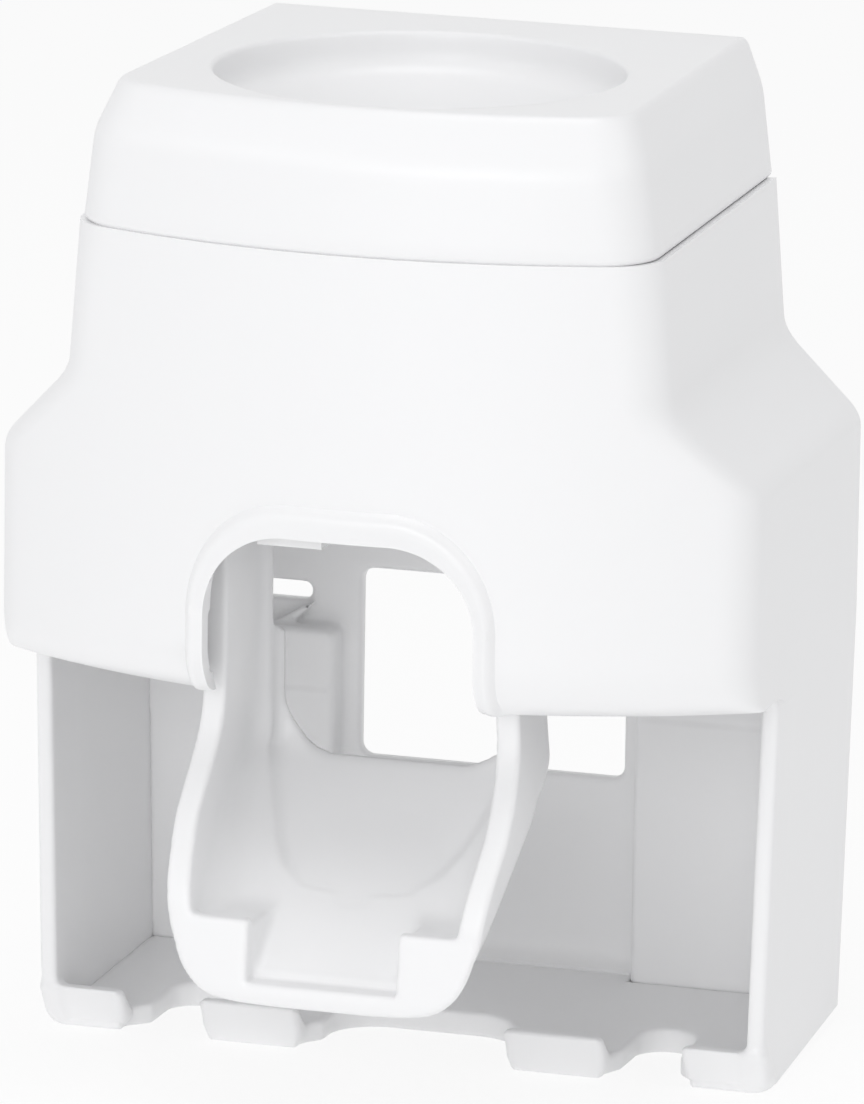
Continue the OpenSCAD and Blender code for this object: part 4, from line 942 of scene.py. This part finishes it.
def padField(x, y, z, s=pad):
    # a rounded slab whose sides pull in between its two skins, by a parabola over the depth
    middle, half = sum(s["y"]) / 2, (s["y"][1] - s["y"][0]) / 2
    pinch = s["pinch"] * np.clip(1 - ((y - middle) / half) ** 2, 0, 1)
    return both(panel(x, z, s["face"], s["cornerR"]) + pinch, slab(y, *s["y"]), r=0.8)

points, quads = netSurface(padField, pad)
for name, mesh in mirroredMeshes("wallPad", points, quads):
    piece = makePiece("wallPad_" + name, mesh, "foam", "body", ["adhesive_pad_" + name])
print("wall pads made")


# return springs: wound wire with a hook round the cross pin
spring = {"x": 14.5, "y": -17.8, "low": 86.3, "high": 99.6, "radius": 2.6, "wire": 0.4, "turns": 9,
          "pin": 103.5, "pinR": 2.0, "gap": 0.08, "leadTurn": 1.45, "leadRise": 1.15, "hookTurn": 250,
          "hookDrop": 2.6, "sides": 10, "perTurn": 28}

def springPath(s):
    # a helix, then a lead that rises while its radius fades out, then most of a loop over the pin
    t = np.linspace(0, 1, s["turns"] * s["perTurn"] + 1)
    turn = 2 * np.pi * s["turns"] * t
    helix = np.stack([s["radius"] * np.cos(turn), s["radius"] * np.sin(turn),
                      s["low"] + (s["high"] - s["low"]) * t], -1)
    hookR = s["pinR"] + s["wire"] + s["gap"]
    a = np.linspace(0, 1, 14)[1:]
    lead = np.stack([s["radius"] * np.cos(a * s["leadTurn"]) * (1 - smooth(a)),
                     -hookR * smooth(a) + s["radius"] * np.sin(a * s["leadTurn"]) * (1 - smooth(a)),
                     s["high"] + (s["pin"] - s["high"]) * a ** s["leadRise"]], -1)
    b = np.linspace(0, np.radians(s["hookTurn"]), 30)[1:]
    hook = np.stack([0 * b, -hookR * np.cos(b), s["pin"] + hookR * np.sin(b)], -1)
    return np.concatenate([helix, lead, hook])

def tubeAlong(path, radius, sides):
    # a round tube carried along a path, its section kept from twisting, its ends closed
    tangent = np.gradient(path, axis=0)
    tangent /= np.linalg.norm(tangent, axis=1, keepdims=True)
    guide = np.cross(tangent, (0, 0, 1.0))
    guide = np.where(np.linalg.norm(guide, axis=1, keepdims=True) < 0.15, np.array([[1.0, 0, 0]]), guide)
    guide = guide - (guide * tangent).sum(1, keepdims=True) * tangent
    guide /= np.linalg.norm(guide, axis=1, keepdims=True)
    other = np.cross(tangent, guide)
    a = np.linspace(0, 2 * np.pi, sides + 1)[:-1, None]
    ring = path[:, None] + radius * (np.cos(a) * guide[:, None] + np.sin(a) * other[:, None])
    closed = lambda i: np.repeat(path[i][None, None], sides, 1)
    return np.concatenate([closed(0), ring, closed(-1)])

def makeSpring(name, side, s=spring):
    # one spring, its lower end on the body and its hook on the lever
    tube = tubeAlong(springPath(s) + (side * s["x"], s["y"], 0), s["wire"], s["sides"])
    quads = latticeQuads(*tube.shape[:2], closed=True)
    piece = bpy.data.objects.new("returnSpring_" + name,
                                 makeMesh("returnSpring_" + name, tube.reshape(-1, 3), quads, orient=True))
    bpy.context.scene.collection.objects.link(piece)
    piece.data.materials.append(finish["steel"])
    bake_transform(piece)
    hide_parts("return_spring_" + name)

makeSpring("left", -1)
makeSpring("right", 1)
print("springs made")


# CAD pieces that keep their shape and take a fuller finish
worn = {"inside": ("pump_carrier", "pump_body", "pump_end_cap", "outlet_collar"),
        "acetal": ("piston", "axle_bushing_left", "axle_bushing_right"),
        "silicone": ("tube_seal", "inlet_valve", "outlet_valve"),
        "rubber": ("piston_ring", "stop_bumper"),
        "steel": ("lever_axle", "cross_pin", "axle_clip_left", "axle_clip_right", "carrier_screws",
                  "back_screws", "tray_screws")}
for kind, nodes in worn.items():
    for node in nodes:
        data = cadNodes[node].data
        data.materials.clear()
        data.materials.append(finish[kind])
print("finishes on", sum(map(len, worn.values())), "CAD pieces")
